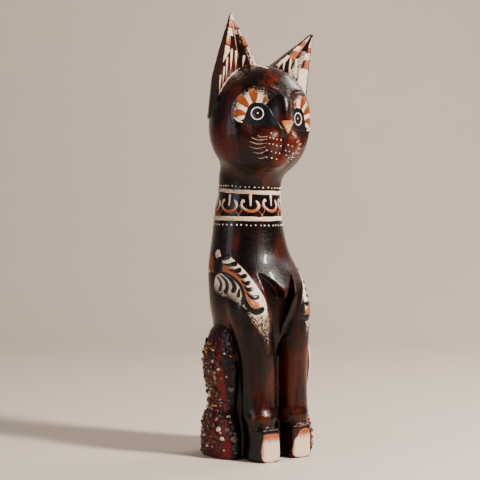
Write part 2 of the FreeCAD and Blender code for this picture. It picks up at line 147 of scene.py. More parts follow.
# Widths of the rounded joins between the wood's parts
JOIN = {
    "jaw": 14.0, "dish": 3.0, "brow": 7.0, "lobe": 4.0, "chin": 5.0, "mouth": 1.6, "ear": 0.8, "neck": 8.0,
    "haunch": 2.5, "tail": 4.0, "paw": 4.0, "knuckle": 3.0, "leg": 3.0, "chest": 1.6, "base": 1.2,
}
TOE_ROUND = 2.6                 # corner radius of a toe block
KNUCKLE_OFFSET = (0.0, 0.5, 23.0)

HEAD_FROM = 240.0               # heights between which the head and the body overlap
LEGS_TO = 262.0
FAR = 60.0                      # stands for any greater distance

GRID = 1.1                      # sculpting grid
MARGIN = 3.0                    # sampled this far round the block
SLAB = 16                       # layers of the grid sampled at a time
TABLE_STEP = 0.5                # height step of a section table
SLOPE_STEP = 0.05               # for slopes by differences


# ---------------------------------------------------------------- distance fields, in millimetres

def smooth_min(a, b, k):
    """The lesser of two distances, rounded over a width k where they meet."""
    h = np.maximum(k - np.abs(a - b), 0.0) / k
    return np.minimum(a, b) - h * h * k * 0.25


def smooth_max(a, b, k):
    return -smooth_min(-a, -b, k)


def ball(p, centre, radii):
    q = (p - np.array(centre)) / np.array(radii)
    k0 = np.linalg.norm(q, axis=-1)
    k1 = np.linalg.norm(q / np.array(radii), axis=-1)
    return k0 * (k0 - 1.0) / np.maximum(k1, 1e-6)


def rounded_box(p, centre, half, radius):
    q = np.abs(p - np.array(centre)) - (np.array(half) - radius)
    outside = np.linalg.norm(np.maximum(q, 0.0), axis=-1)
    return outside + np.minimum(q.max(axis=-1), 0.0) - radius


def rod(p, a, b, reach):
    """A round-ended rod."""
    a, b = np.array(a, float), np.array(b, float)
    along = np.clip(((p - a) @ (b - a)) / ((b - a) @ (b - a)), 0.0, 1.0)
    return np.linalg.norm(p - a - along[..., None] * (b - a), axis=-1) - reach


def section_table(rows):
    """Smooth columns through section rows, as heights and values."""
    rows = np.array(rows, float)
    z, values = rows[:, 0], rows[:, 1:]
    slope = np.gradient(values, z, axis=0)
    heights = np.arange(z[0], z[-1] + TABLE_STEP / 2, TABLE_STEP)
    i = np.clip(np.searchsorted(z, heights, side="right") - 1, 0, len(z) - 2)
    gap = (z[i + 1] - z[i])[:, None]
    t = (heights - z[i])[:, None] / gap
    start = (2 * t**3 - 3 * t**2 + 1) * values[i] + (t**3 - 2 * t**2 + t) * gap * slope[i]
    end = (3 * t**2 - 2 * t**3) * values[i + 1] + (t**3 - t**2) * gap * slope[i + 1]
    return heights, start + end


def mirrored(v, side):
    return (SIDES[side] * v[0], v[1], v[2])


TABLES = {
    "torso": section_table(TORSO),
    "right_foreleg": section_table(RIGHT_FORELEG),
    "left_foreleg": section_table(LEFT_FORELEG),
    "tail": section_table(TAIL),
    "right_haunch": section_table(RIGHT_HAUNCH),
    "left_haunch": section_table(LEFT_HAUNCH),
}


def column(p, name):
    """A stack of upright ellipses between the first and last height of its table."""
    heights, values = TABLES[name]
    cx, cy, a, b = (np.interp(p[..., 2], heights, values[:, c]) for c in range(4))
    qx = (p[..., 0] - cx) / a
    qy = (p[..., 1] - cy) / b
    k0 = np.hypot(qx, qy)
    k1 = np.hypot(qx / a, qy / b)
    side = k0 * (k0 - 1.0) / np.maximum(k1, 1e-6)
    return np.maximum(side, np.maximum(heights[0] - p[..., 2], p[..., 2] - heights[-1]))


def polygon_distance(x, z, corners):
    """Signed distance to a closed outline in the xz plane, negative inside."""
    nearest = np.full(x.shape, 1e9)
    inside = np.zeros(x.shape, bool)
    for (x0, z0), (x1, z1) in zip(corners, corners[1:] + corners[:1]):
        ex, ez = x1 - x0, z1 - z0
        t = np.clip(((x - x0) * ex + (z - z0) * ez) / (ex * ex + ez * ez), 0.0, 1.0)
        nearest = np.minimum(nearest, np.hypot(x - x0 - t * ex, z - z0 - t * ez))
        if ez:
            crosses = ((z0 > z) != (z1 > z)) & (x < x0 + ex * (z - z0) / ez)
            inside ^= crosses
    return np.where(inside, -nearest, nearest)


def turned(p, degrees, plane):
    """Points turned in one plane about the head's pivot."""
    turn = math.radians(degrees)
    i, j = plane
    q = p - np.array(HEAD_PIVOT)
    moved = q.copy()
    moved[..., i] = math.cos(turn) * q[..., i] - math.sin(turn) * q[..., j]
    moved[..., j] = math.sin(turn) * q[..., i] + math.cos(turn) * q[..., j]
    return moved + np.array(HEAD_PIVOT)


def upright(p):
    """Points moved into the head's own upright, forward-facing frame."""
    return turned(turned(p, HEAD_ROLL, (0, 2)), HEAD_TURN, (0, 1))


def leaned(p):
    """Points of the upright head moved to where the leaning, turned head has them."""
    return turned(turned(p, -HEAD_TURN, (0, 1)), -HEAD_ROLL, (0, 2))


def ear_edges(side, z):
    """x of an ear's inner and outer edge at one height, x outward."""
    tip_x, tip_z = EAR_TIP[side]
    inner_x, inner_z = EAR_INNER
    inside, outside = EAR_TIP_SPAN
    inner = tip_x + inside + (tip_z - z) / (tip_z - inner_z) * (inner_x - tip_x - inside)
    down = np.minimum((tip_z - z) / (tip_z - EAR_SHOULDER_Z), 1.0)
    return inner, tip_x + outside + down * (EAR_OUTER_X - tip_x - outside)


def ear(p, side):
    """A blade whose front is hollowed to a crease and whose back slants, in the upright head's frame."""
    x, y, z = SIDES[side] * p[..., 0], p[..., 1], p[..., 2]
    tip_x, tip_z = EAR_TIP[side]
    inner_x, inner_z = EAR_INNER
    inner_edge, outer_edge = ear_edges(side, z)
    inner_side = (inner_edge - x) / math.hypot(1.0, (tip_x - inner_x) / (tip_z - inner_z))
    width = np.maximum(outer_edge - inner_edge, EAR_LEAST_WIDTH)
    across = np.clip((x - inner_edge) / width, 0.0, 1.0)
    hollow = np.minimum(EAR_HOLLOW, EAR_HOLLOW_SHARE * width) * (1.0 - np.abs(2.0 * across - 1.0))
    back_y = EAR_TIP_DEPTH + (tip_z - z) * (EAR_ROOT_DEPTH - EAR_TIP_DEPTH) / (tip_z - EAR_ROOT_Z)
    plan = np.hypot(x / (EAR_OUTER_X + EAR_WALL), (y - SKULL[0][1]) / SKULL[1][1])
    wall = np.maximum(x - outer_edge, (plan - 1.0) * EAR_OUTER_X)
    blade = np.maximum(np.maximum(hollow - y, (y - back_y) * EAR_BACK_SLANT), np.maximum(inner_side, wall))
    return np.maximum(blade, np.maximum(EAR_ROOT_Z - z, z - tip_z))


def eye_axes(side):
    """Middle of one eye and its axes: towards the nose, up, and out of the wood, upright head's frame."""
    turn = math.radians(EYE_TURN)
    tilt = math.radians(EYE_TILT)
    s = SIDES[side]
    level = np.array((s * math.sin(turn), -math.cos(turn), 0.0))
    out = level * math.cos(tilt) + np.array((0.0, 0.0, math.sin(tilt)))
    nose_way = np.array((-s * math.cos(turn), -math.sin(turn), 0.0))
    up = np.array((0.0, 0.0, math.cos(tilt))) - level * math.sin(tilt)
    return np.array(mirrored(EYE, side)), nose_way, up, out


def head(p):
    """Skull, jaw, eye dishes, ridge to the nose, muzzle, chin and ears."""
    q = upright(p)
    shape = smooth_min(ball(q, *SKULL), ball(q, *JAW), JOIN["jaw"])
    for side in SIDES:
        middle, _, _, out = eye_axes(side)
        dish = ball(q, middle + out * DISH_RADIUS, (DISH_RADIUS,) * 3)
        shape = smooth_max(shape, -dish, JOIN["dish"])
    shape = smooth_min(shape, ball(q, *BROW_RIDGE), JOIN["brow"])
    for side in SIDES:
        lobe = ball(q, mirrored(MUZZLE_LOBE[0], side), MUZZLE_LOBE[1])
        shape = smooth_min(shape, lobe, JOIN["lobe"])
    shape = smooth_min(shape, ball(q, *CHIN), JOIN["chin"])
    for line in MOUTH:
        for a, b in zip(line, line[1:]):
            shape = smooth_max(shape, -rod(q, a, b, MOUTH_REACH), JOIN["mouth"])
    for side in SIDES:
        shape = smooth_min(shape, ear(q, side), JOIN["ear"])
    return shape


def paw(p, side):
    """A blunt toe block under a knuckle."""
    toe = rounded_box(p, PAWS[side], PAW_HALF, TOE_ROUND)
    knuckle = ball(p, np.add(PAWS[side], KNUCKLE_OFFSET), KNUCKLE_HALF)
    return smooth_min(toe, knuckle, JOIN["knuckle"])


def lower_body(p):
    """Haunches, forelegs with paws, and tail, joined to the torso."""
    shape = column(p, "torso")
    for side in SIDES:
        shape = smooth_min(shape, column(p, side + "_haunch"), JOIN["haunch"])
    shape = smooth_min(shape, column(p, "tail"), JOIN["tail"])
    for side in SIDES:
        leg = smooth_min(column(p, side + "_foreleg"), paw(p, side), JOIN["paw"])
        shape = smooth_min(shape, leg, JOIN["leg"])
    hollow = np.maximum(polygon_distance(p[..., 0], p[..., 2], CHEST_HOLLOWS), p[..., 1] - CHEST_HOLLOW_Y)
    return smooth_max(shape, -hollow, JOIN["chest"])


def hand_carving(p):
    """Slight unevenness left by the knife."""
    x, y, z = p[..., 0], p[..., 1], p[..., 2]
    broad = np.sin(x / 9.0 + z / 23.0) * np.cos(y / 11.0 - z / 31.0)
    fine = np.sin(x / 4.3 - y / 5.1) * np.sin(z / 13.0 + y / 7.0)
    return 0.28 * broad + 0.12 * fine


def wood(p):
    """Signed distance to the carved block's skin."""
    low = p[..., 2] < LEGS_TO
    high = p[..., 2] > HEAD_FROM
    body = np.full(p.shape[:-1], FAR)
    body[low] = lower_body(p[low])
    body[~low] = column(p[~low], "torso")
    crown = np.full(p.shape[:-1], FAR)
    crown[high] = head(p[high])
    return smooth_max(smooth_min(body, crown, JOIN["neck"]), -p[..., 2], JOIN["base"]) + hand_carving(p)


# ---------------------------------------------------------------- from field to mesh

def field_grid():
    """The field sampled over the CAD block's box."""
    low, high = (np.array(corner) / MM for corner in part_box("carved_block"))
    axes = [np.arange(low[i] - MARGIN, high[i] + MARGIN + GRID, GRID) for i in range(3)]
    values = np.empty([len(a) for a in axes], np.float32)
    for k in range(0, len(axes[2]), SLAB):
        part = np.stack(np.meshgrid(axes[0], axes[1], axes[2][k:k + SLAB], indexing="ij"), axis=-1)
        values[:, :, k:k + SLAB] = wood(part)
    return np.array([a[0] for a in axes]), values


def surface_net(origin, values):
    """Vertices and quads of the zero surface of a sampled field."""
    inside = values < 0
    cells = tuple(n - 1 for n in values.shape)
    corner = [(i, j, k) for i in (0, 1) for j in (0, 1) for k in (0, 1)]
    view = {c: tuple(slice(c[a], c[a] + cells[a]) for a in range(3)) for c in corner}
    count = sum(inside[view[c]].astype(np.int8) for c in corner)
    active = (count > 0) & (count < 8)
    index = np.full(cells, -1, np.int64)
    index[active] = np.arange(active.sum())
    base = np.argwhere(active).astype(float)
    total = np.zeros_like(base)
    hits = np.zeros(len(base))
    for a in corner:
        for axis in range(3):
            if a[axis]:
                continue
            b = tuple(1 if i == axis else a[i] for i in range(3))
            va = values[view[a]][active]
            vb = values[view[b]][active]
            crossing = (va < 0) != (vb < 0)
            t = np.where(crossing, va / np.where(crossing, va - vb, 1.0), 0.0)
            point = np.tile(np.array(a, float), (len(base), 1))
            point[:, axis] += t
            total += point * crossing[:, None]
            hits += crossing
    vertices = origin + (base + total / hits[:, None]) * GRID
    quads = []
    for axis in range(3):
        u, v = [i for i in range(3) if i != axis]
        here = [slice(1, -1)] * 3
        here[axis] = slice(0, -1)
        there = list(here)
        there[axis] = slice(1, None)
        change = inside[tuple(here)] != inside[tuple(there)]
        at = np.argwhere(change) + np.array([0 if i == axis else 1 for i in range(3)])
        starts_inside = inside[tuple(at.T)]
        steps = []
        for du, dv in ((0, 0), (1, 0), (1, 1), (0, 1)):
            cell = at.copy()
            cell[:, u] -= du
            cell[:, v] -= dv
            steps.append(index[tuple(cell.T)])
        quad = np.stack(steps, axis=1)
        flip = starts_inside if axis == 1 else ~starts_inside
        quad[flip] = quad[flip][:, ::-1]
        quads.append(quad)
    return vertices, np.concatenate(quads)


def gradient(p):
    """Slope of the field, by differences."""
    columns = []
    for axis in range(3):
        nudge = np.zeros(3)
        nudge[axis] = SLOPE_STEP
        columns.append((wood(p + nudge) - wood(p - nudge)) / (2 * SLOPE_STEP))
    return np.stack(columns, axis=-1)


def settle(p):
    """Moves points onto the skin, at most half a grid step each time."""
    for _ in range(2):
        slope = gradient(p)
        move = wood(p)[:, None] * slope / np.maximum((slope**2).sum(axis=1), 0.2)[:, None]
        p = p - np.clip(move, -GRID / 2, GRID / 2)
    return p


def mesh_object(name, vertices, faces, smooth=True):
    """A Blender object from points in millimetres."""
    mesh = bpy.data.meshes.new(name)
    standing = np.asarray(vertices) * MM
    standing[:, 2] = np.maximum(standing[:, 2], 0.0)     # nothing goes below the floor
    mesh.from_pydata(standing.tolist(), [], [list(map(int, face)) for face in faces])
    mesh.validate()
    if smooth:
        mesh.shade_smooth()
    piece = bpy.data.objects.new(name, mesh)
    bpy.context.collection.objects.link(piece)
    return piece


# ---------------------------------------------------------------- laying paint on the wood

REACH = 60.0                    # rays start this far out
FILM_RISE = 0.25
STROKE_RISE = 0.42
EDGE_SINK = 0.05                # a film's edge dips this far into the wood
FILM_ROOT = 0.35                # its underside is this deep
CHART_OUT = 20.0                # the front-quarter chart's points are moved this far towards the viewer
DOME_ACROSS = (-1.0, -0.7, 0.0, 0.7, 1.0)       # a ribbon's points, from one edge to the other
DOME_SHOULDER = 0.75            # height of its shoulders, as a share of its own
RING_STEP = 0.8
EDGE_CLEAR = 0.45               # a film's inner points keep this share of a step from its edge
ROW_SHARE = 0.87                # rows of an even triangle grid, as a share of its side
FADED = 0.35                    # cover left at the edge of a film that fades
DOT_HEIGHT = 0.75               # height of a paint dot, as a share of its radius
DROP_SIDES = 10
DROP_RINGS = ((0.8, 0.6), (0.3, 0.93), (-0.3, 1.0))     # height and reach, as shares of a drop's own


class Skin:
    """The finished wood, for rays to meet."""

    def __init__(self, vertices, quads):
        self.tree = BVHTree.FromPolygons(vertices.tolist(), quads.tolist())

    def meet(self, places, outs):
        """Where rays sent in past each place meet the wood, and the way out of it there."""
        outs = outs / np.linalg.norm(outs, axis=1)[:, None]
        points = []
        for place, out in zip(places, outs):
            hit = self.tree.ray_cast(Vector(place + REACH * out), Vector(-out))[0]
            points.append(hit or self.tree.find_nearest(Vector(place))[0])
        points = np.array([tuple(p) for p in points])
        slope = gradient(points)
        return points, slope / np.linalg.norm(slope, axis=1)[:, None]


def view_axes():
    """Level axes of the front-quarter view: to its right, and towards it."""
    turn = math.radians(VIEW_TURN)
    return np.array((math.cos(turn), -math.sin(turn), 0)), np.array((-math.sin(turn), -math.cos(turn), 0))


def quarter_chart(flat):
    """(across, height) as seen from the front quarter, on an upright plane through the neck's axis."""
    right, towards = view_axes()
    places = np.array((0, NECK_Y, 0)) + flat[:, :1] * right + flat[:, 1:2] * np.array((0, 0, 1))
    outs = towards * VIEW_AWAY + np.array((0, 0, VIEW_HEIGHT)) - places
    outs = outs / np.linalg.norm(outs, axis=1)[:, None]
    return places + CHART_OUT * outs, outs


def shoulder_chart(side):
    """The front-quarter view, on the left turned round and lower."""
    def chart(flat):
        if side == "right":
            return quarter_chart(flat)
        lowered = flat - np.array((0, LEFT_PLUME_DROP))
        return tuple(part * np.array((-1, 1, 1)) for part in quarter_chart(lowered))
    return chart


def face_chart(skin, side):
    """The front-quarter view of the face, on the left mirrored in the head's own middle."""
    def chart(flat):
        places, outs = quarter_chart(flat)
        if side == "right":
            return places, outs
        hits = skin.meet(places, outs)[0]
        flip = np.array((-1, 1, 1))
        there = leaned(upright(hits) * flip)
        return there, leaned(upright(hits + outs) * flip) - there
    return chart


def eye_chart(side):
    """(towards the nose, up) round one eye."""
    middle, nose_way, up, out = eye_axes(side)

    def chart(flat):
        places = middle + flat[:, :1] * nose_way + flat[:, 1:2] * up
        there = leaned(places)
        return there, leaned(places + out) - there
    return chart


def ear_chart(side):
    """(x, height) on the front of one ear, x outward."""
    def chart(flat):
        still = np.zeros(len(flat))
        places = np.stack((SIDES[side] * flat[:, 0], still, flat[:, 1]), axis=1)
        there = leaned(places)
        return there, leaned(places + np.array((0, -1, 0))) - there
    return chart


def neck_chart(flat):
    """(way round to the cat's left, height) round the neck, in millimetres."""
    turn = flat[:, 0] / NECK_ROUND
    outs = np.stack((np.sin(turn), -np.cos(turn), np.zeros(len(flat))), axis=1)
    places = np.array((0, NECK_Y, 0)) + NECK_ROUND * outs
    places[:, 2] = flat[:, 1]
    return places, outs


def paw_chart(side):
    """(x from the paw's middle, outward; height) on the front of one paw."""
    def chart(flat):
        x = PAWS[side][0] + SIDES[side] * flat[:, 0]
        places = np.stack((x, np.full(len(flat), PAWS[side][1]), flat[:, 1]), axis=1)
        return places, np.tile((0.0, -1.0, 0.0), (len(flat), 1))
    return chart


def haunch_chart(side):
    """(way round to the back, height) on a haunch, in millimetres; 0 faces straight out."""
    heights, values = TABLES[side + "_haunch"]

    def chart(flat):
        turn = flat[:, 0] / HAUNCH_ROUND
        cx, cy, a, b = (np.interp(flat[:, 1], heights, values[:, c]) for c in range(4))
        cos = SIDES[side] * np.cos(turn)
        places = np.stack((cx + a * cos, cy + b * np.sin(turn), flat[:, 1]), axis=1)
        return places, np.stack((cos / a, np.sin(turn) / b, np.zeros(len(flat))), axis=1)
    return chart


def smooth_line(points, closed=False, step=0.6):
    """Rows about one step apart along a smooth curve through the given rows."""
    points = np.array(points, float)
    n = len(points)
    line = []
    for k in range(n if closed else n - 1):
        around = [k - 1, k, k + 1, k + 2]
        around = [i % n if closed else min(max(i, 0), n - 1) for i in around]
        before, a, b, after = points[around]
        steps = max(2, int(np.ceil(np.linalg.norm((b - a)[:2]) / step)))
        t = (np.arange(steps) / steps)[:, None]
        bend = 2 * before - 5 * a + 4 * b - after
        line.append(0.5 * (2 * a + (b - before) * t + bend * t**2 + (3 * a - before - 3 * b + after) * t**3))
    if not closed:
        line.append(points[-1:])
    return np.concatenate(line)


def arc(radius, start, end, steps):
    """Points on an arc from start to end degrees, round the chart's zero."""
    turn = np.radians(np.linspace(start, end, steps + 1))
    return np.stack((radius * np.cos(turn), radius * np.sin(turn)), axis=1)


class Layer:
    """The closed bits of one painted piece, with the tone and cover that its material reads."""

    def __init__(self, skin):
        self.skin = skin
        self.vertices, self.faces, self.tone, self.cover = [], [], [], []

    def add(self, vertices, faces, tone, cover):
        start = sum(len(v) for v in self.vertices)
        self.vertices.append(vertices)
        self.faces += [tuple(i + start for i in face) for face in faces]
        self.tone.append(np.broadcast_to(tone, len(vertices)))
        self.cover.append(np.broadcast_to(cover, len(vertices)))

    def shell(self, top, bottom, faces, tone, cover):
        """A closed film from its upper and lower skins."""
        n = len(top)
        edges = {(face[i - 1], face[i]) for face in faces for i in range(len(face))}
        walls = [(b, a, a + n, b + n) for a, b in edges if (b, a) not in edges]
        under = [tuple(i + n for i in reversed(face)) for face in faces]
        self.add(np.concatenate((top, bottom)), [tuple(f) for f in faces] + under + walls,
                 np.tile(np.broadcast_to(tone, n), 2), np.tile(np.broadcast_to(cover, n), 2))

    def stroke(self, chart, rows, tone=(1.0,), cover=(1.0,), rise=STROKE_RISE, closed=False, step=0.6):
        """A domed brush stroke along rows of (first, second, width); tone and cover run along it."""
        line = smooth_line(rows, closed, step)
        if closed:
            ahead = np.roll(line, -1, axis=0) - np.roll(line, 1, axis=0)
        else:
            ahead = np.gradient(line, axis=0)
        gone = np.concatenate(([0.0], np.cumsum(np.linalg.norm(np.diff(line[:, :2], axis=0), axis=1))))
        half = np.maximum(line[:, 2], 0.1) / 2
        if not closed:
            for left in (gone, gone[-1] - gone):
                near = np.clip(left / np.maximum(half, 0.2), 0.0, 1.0)
                half = half * np.sqrt(np.maximum(1.0 - (1.0 - near)**2, 0.01))
        part = gone / gone[-1]
        tone, cover = (np.interp(part, np.linspace(0, 1, len(v)), v) for v in (tone, cover))
        self.ribbon(chart, line[:, :2], half, ahead[:, :2], tone, cover, rise, closed)

    def ring(self, chart, rows, length, cover, rise=STROKE_RISE):
        """A stroke all the way round the neck, along rows of (way round, height, width)."""
        way, height, width = np.array(rows).T
        round_it = np.arange(0.0, length, RING_STEP)
        line = np.stack((round_it, np.interp(round_it, way, height, period=length)), axis=1)
        half = np.interp(round_it, way, width, period=length) / 2
        cover = np.interp(round_it, way, cover, period=length)
        ahead = np.tile((1.0, 0.0), (len(line), 1))
        self.ribbon(chart, line, half, ahead, np.ones(len(line)), cover, rise, True)

    def ribbon(self, chart, line, half, ahead, tone, cover, rise, closed):
        """A domed strip of half-widths along a line, its edges sunk in the wood."""
        sideways = np.stack((-ahead[:, 1], ahead[:, 0]), axis=1)
        sideways /= np.maximum(np.linalg.norm(sideways, axis=1), 1e-6)[:, None]
        across = np.array(DOME_ACROSS)
        wide = len(across)
        shoulder = DOME_SHOULDER * rise
        lift = np.array((-EDGE_SINK, shoulder, rise, shoulder, -EDGE_SINK))
        flat = line[:, None] + sideways[:, None] * (across[None, :, None] * half[:, None, None])
        points, outs = self.skin.meet(*chart(flat.reshape(-1, 2)))
        n = len(line)
        top = points + outs * np.tile(lift, n)[:, None]
        grid = [(r, (r + 1) % n) for r in range(n if closed else n - 1)]
        faces = [(wide * a + c, wide * b + c, wide * b + c + 1, wide * a + c + 1)
                 for a, b in grid for c in range(wide - 1)]
        faces = self.outward(top, faces, outs)
        self.shell(top, points - outs * FILM_ROOT, faces, np.repeat(tone, wide), np.repeat(cover, wide))

    def outward(self, top, faces, outs):
        """The same faces, turned so that they face out of the wood."""
        a, b, c = (top[[f[k] for f in faces]] for k in range(3))
        facing = (np.cross(b - a, c - a) * outs[[f[0] for f in faces]]).sum()
        return faces if facing > 0 else [tuple(reversed(f)) for f in faces]

    def film(self, chart, outline, tone=1.0, cover=1.0, fade=0.0, rise=FILM_RISE, step=0.8, round_it=True):
        """A thin film inside an outline; tone and cover are numbers or functions of the flat points."""
        if round_it:
            edge = smooth_line(outline, True, step)
        else:
            edge = smooth_straight(outline, step)
        corners = [tuple(p) for p in edge]
        low, high = edge.min(axis=0), edge.max(axis=0)
        rows = np.arange(low[1], high[1], step * ROW_SHARE)
        inner = np.array([(x + step / 2 * (k % 2), z) for k, z in enumerate(rows)
                          for x in np.arange(low[0], high[0], step)])
        inner = inner[polygon_distance(inner[:, 0], inner[:, 1], corners) < -EDGE_CLEAR * step]
        flat = np.concatenate((edge, inner))
        n = len(edge)
        ring = [(k, (k + 1) % n) for k in range(n)]
        made = delaunay_2d_cdt([Vector(p) for p in flat], ring, [list(range(n))], 1, 1e-4)
        flat = np.array([tuple(p) for p in made[0]])
        depth = -polygon_distance(flat[:, 0], flat[:, 1], corners)
        points, outs = self.skin.meet(*chart(flat))
        lift = np.where(depth < 0.05, -EDGE_SINK, rise)
        top = points + outs * lift[:, None]
        tone = tone(flat) if callable(tone) else tone
        cover = cover(flat) if callable(cover) else cover
        if fade:
            cover = cover * np.clip(FADED + (1.0 - FADED) * depth / fade, 0.0, 1.0)
        faces = self.outward(top, [tuple(f) for f in made[2]], outs)
        self.shell(top, points - outs * FILM_ROOT, faces, tone, cover)

    def dot(self, chart, flat, radius, tone=1.0):
        """A small raised drop of paint: a top point, rings below it, and a flat foot."""
        place, out = (v[0] for v in self.skin.meet(*chart(np.array([flat], float))))
        rise = DOT_HEIGHT * radius
        first = np.cross(out, (0.3, 0.2, 1.0))
        first /= np.linalg.norm(first)
        second = np.cross(out, first)
        n = DROP_SIDES
        vertices = [place + out * rise]
        for level, reach in DROP_RINGS:
            for turn in np.radians(np.arange(0, 360, 360 / n)):
                aside = first * math.cos(turn) + second * math.sin(turn)
                vertices.append(place + out * rise * level + aside * radius * reach)
        faces = [(0, 1 + k, 1 + (k + 1) % n) for k in range(n)]
        for row in (1, 1 + n):
            faces += [(row + k, row + n + k, row + n + (k + 1) % n, row + (k + 1) % n) for k in range(n)]
        faces.append(tuple(reversed(range(1 + 2 * n, 1 + 3 * n))))
        self.add(np.array(vertices), faces, tone, 1.0)

    def piece(self, name, smooth=True):
        made = mesh_object(name, np.concatenate(self.vertices), self.faces, smooth)
        for label, values in (("tone", self.tone), ("cover", self.cover)):
            layer = made.data.attributes.new(label, "FLOAT", "POINT")
            layer.data.foreach_set("value", np.concatenate(values).astype(np.float32))
        return made


def smooth_straight(outline, step):
    """Points along a closed outline's straight sides."""
    line = []
    outline = [np.array(p, float) for p in outline]
    for a, b in zip(outline, outline[1:] + outline[:1]):
        steps = max(1, int(np.ceil(np.linalg.norm(b - a) / step)))
        line += [a + (b - a) * k / steps for k in range(steps)]
    return np.array(line)


# ---------------------------------------------------------------- the collar

NECK_ROUND = 30.0               # the neck's radius, for lengths round it
NECK_LENGTH = 2 * math.pi * NECK_ROUND
MOTIFS = 9
MOTIF_START = 4.0               # one motif stands this far from the cat's front
BANDS = {"collar_upper_band": (239.4, 3.6, 1.5), "collar_lower_band": (215.3, 4.0, 0.4)}
DOT_ROWS = {"collar_upper_dots": (43, 243.9, 1.4), "collar_lower_dots": (46, 209.6, 0.7)}
BAND_STATIONS = 40
COLLAR_DOT = 0.8
SCROLL_Z = 224.0
# One motif's strokes, as (way round, height, width)
SCROLL = [
    (-5.7, 6.4, 0.8), (-6.9, 8.0, 2.6), (-8.3, 6.4, 2.2), (-8.3, 3.4, 1.8), (-6.0, 0.6, 2.0),
    (-2.6, -1.4, 2.6), (1.4, -2.0, 3.0), (5.4, -0.8, 2.8), (7.9, 2.2, 2.7), (7.3, 5.6, 2.6), (5.2, 8.0, 0.9),
]
DROP = [(0.2, 14.0, 2.9), (0.0, 10.5, 2.6), (0.2, 6.5, 1.9), (0.0, 2.6, 1.3)]
DIAMOND = [
    (0.0, 3.4, 0.9), (-1.7, 1.4, 1.0), (-3.1, -1.2, 1.0), (-1.4, -3.6, 0.9), (0.2, -4.8, 1.1),
    (1.6, -3.2, 0.9), (3.0, -1.0, 1.0), (1.6, 1.6, 0.9),
]
DIAMOND_TAIL = [(0.0, -5.0, 1.3), (0.2, -7.0, 1.5)]


def collar_tilt(across):
    """How far the brush wandered up or down, round the neck."""
    return np.sin(-(across / NECK_ROUND + math.radians(VIEW_TURN)))


def collar_band(layer, z, height, tilt, dice):
    """A brushed ring of uneven width."""
    across = np.linspace(0, NECK_LENGTH, BAND_STATIONS, endpoint=False)
    rows = [(s, z + tilt * collar_tilt(s) + dice.uniform(-0.2, 0.2), height * dice.uniform(0.86, 1.1))
            for s in across]
    cover = [0.78 - 0.2 * collar_tilt(s) + dice.uniform(-0.1, 0.1) for s in across]
    layer.ring(neck_chart, rows, NECK_LENGTH, cover)


def at_motif(rows, middle, dice):
    """A motif's stroke moved to its place, a little larger or smaller each time."""
    size = dice.uniform(0.95, 1.04)
    return [(middle + size * x, SCROLL_Z + size * z, width) for x, z, width in rows]


def collar(skin):
    layers = {name: Layer(skin) for name in
              [*BANDS, *DOT_ROWS, "collar_scrolls", "collar_drops", "collar_diamonds"]}
    dice = random.Random(5)
    for name, (z, height, tilt) in BANDS.items():
        collar_band(layers[name], z, height, tilt, dice)
    for name, (count, z, tilt) in DOT_ROWS.items():
        for k in range(count):
            s = NECK_LENGTH * (k + dice.uniform(-0.16, 0.16)) / count
            at = (s, z + tilt * collar_tilt(s) + dice.uniform(-0.25, 0.25))
            layers[name].dot(neck_chart, at, COLLAR_DOT * dice.uniform(0.8, 1.15), dice.uniform(0.7, 1.0))
    for k in range(MOTIFS):
        middle = MOTIF_START + NECK_LENGTH * k / MOTIFS
        halfway = middle + NECK_LENGTH / MOTIFS / 2
        diamonds = layers["collar_diamonds"]
        tones = (1.0, 1.0, 0.45, 0.0, 0.05, 0.8, 1.0)
        layers["collar_scrolls"].stroke(neck_chart, at_motif(SCROLL, middle, dice), tones)
        drop = at_motif(DROP, middle, dice)
        layers["collar_drops"].stroke(neck_chart, drop, (1.0,), (1.0, 1.0, 0.9, 0.75))
        diamond = at_motif(DIAMOND, halfway, dice)
        diamonds.stroke(neck_chart, diamond, (0.0, 0.4, 0.1), (0.62,), rise=0.3, closed=True)
        diamonds.stroke(neck_chart, at_motif(DIAMOND_TAIL, halfway, dice), (0.9,), (0.8,))
    return layers


# ---------------------------------------------------------------- the face

EYE_RING = 5.4                 # radius of the ring's line
PATCH = [
    (-10.7, -9.7), (-10.1, 1.7), (-6.6, 8.6), (-1.1, 10.2), (4.65, 9.9), (10.8, 5.2), (14.7, -1.8),
    (21.1, -10.2), (27.8, -17), (25.3, -20.9), (18.8, -12), (12.9, -10.1), (4.8, -10),
]
FAN = (7.0, 24.5, 50.0, 208.0)  # inner and outer radius, from where to where in degrees; 0 towards the nose
FAN_STARTS_OVER = 34.0          # degrees over which the fan comes in beside the nose
FAN_WORN = (16.0, 13.0)         # from this radius, and over this much, it wears thin
PETALS = [(188, 10.0, 21.5, 9.2), (149, 9.5, 23.0, 10.6), (112, 9.5, 22.5, 10.8), (70, 10.5, 17.0, 5.0)]
PETAL_BOW = 5.0                 # degrees
LASH = [(-12.5, -9.2, 1.0), (-17.0, -8.0, 1.6), (-20.5, -5.0, 1.2)]
RING_WIDTH = 1.15
PUPIL = (3.4, 1.6)              # radius and width of the stroke round the pupil
EYE_RISE = {"petal": 0.36, "patch": 0.45, "pupil": 0.55, "ring": 0.75}

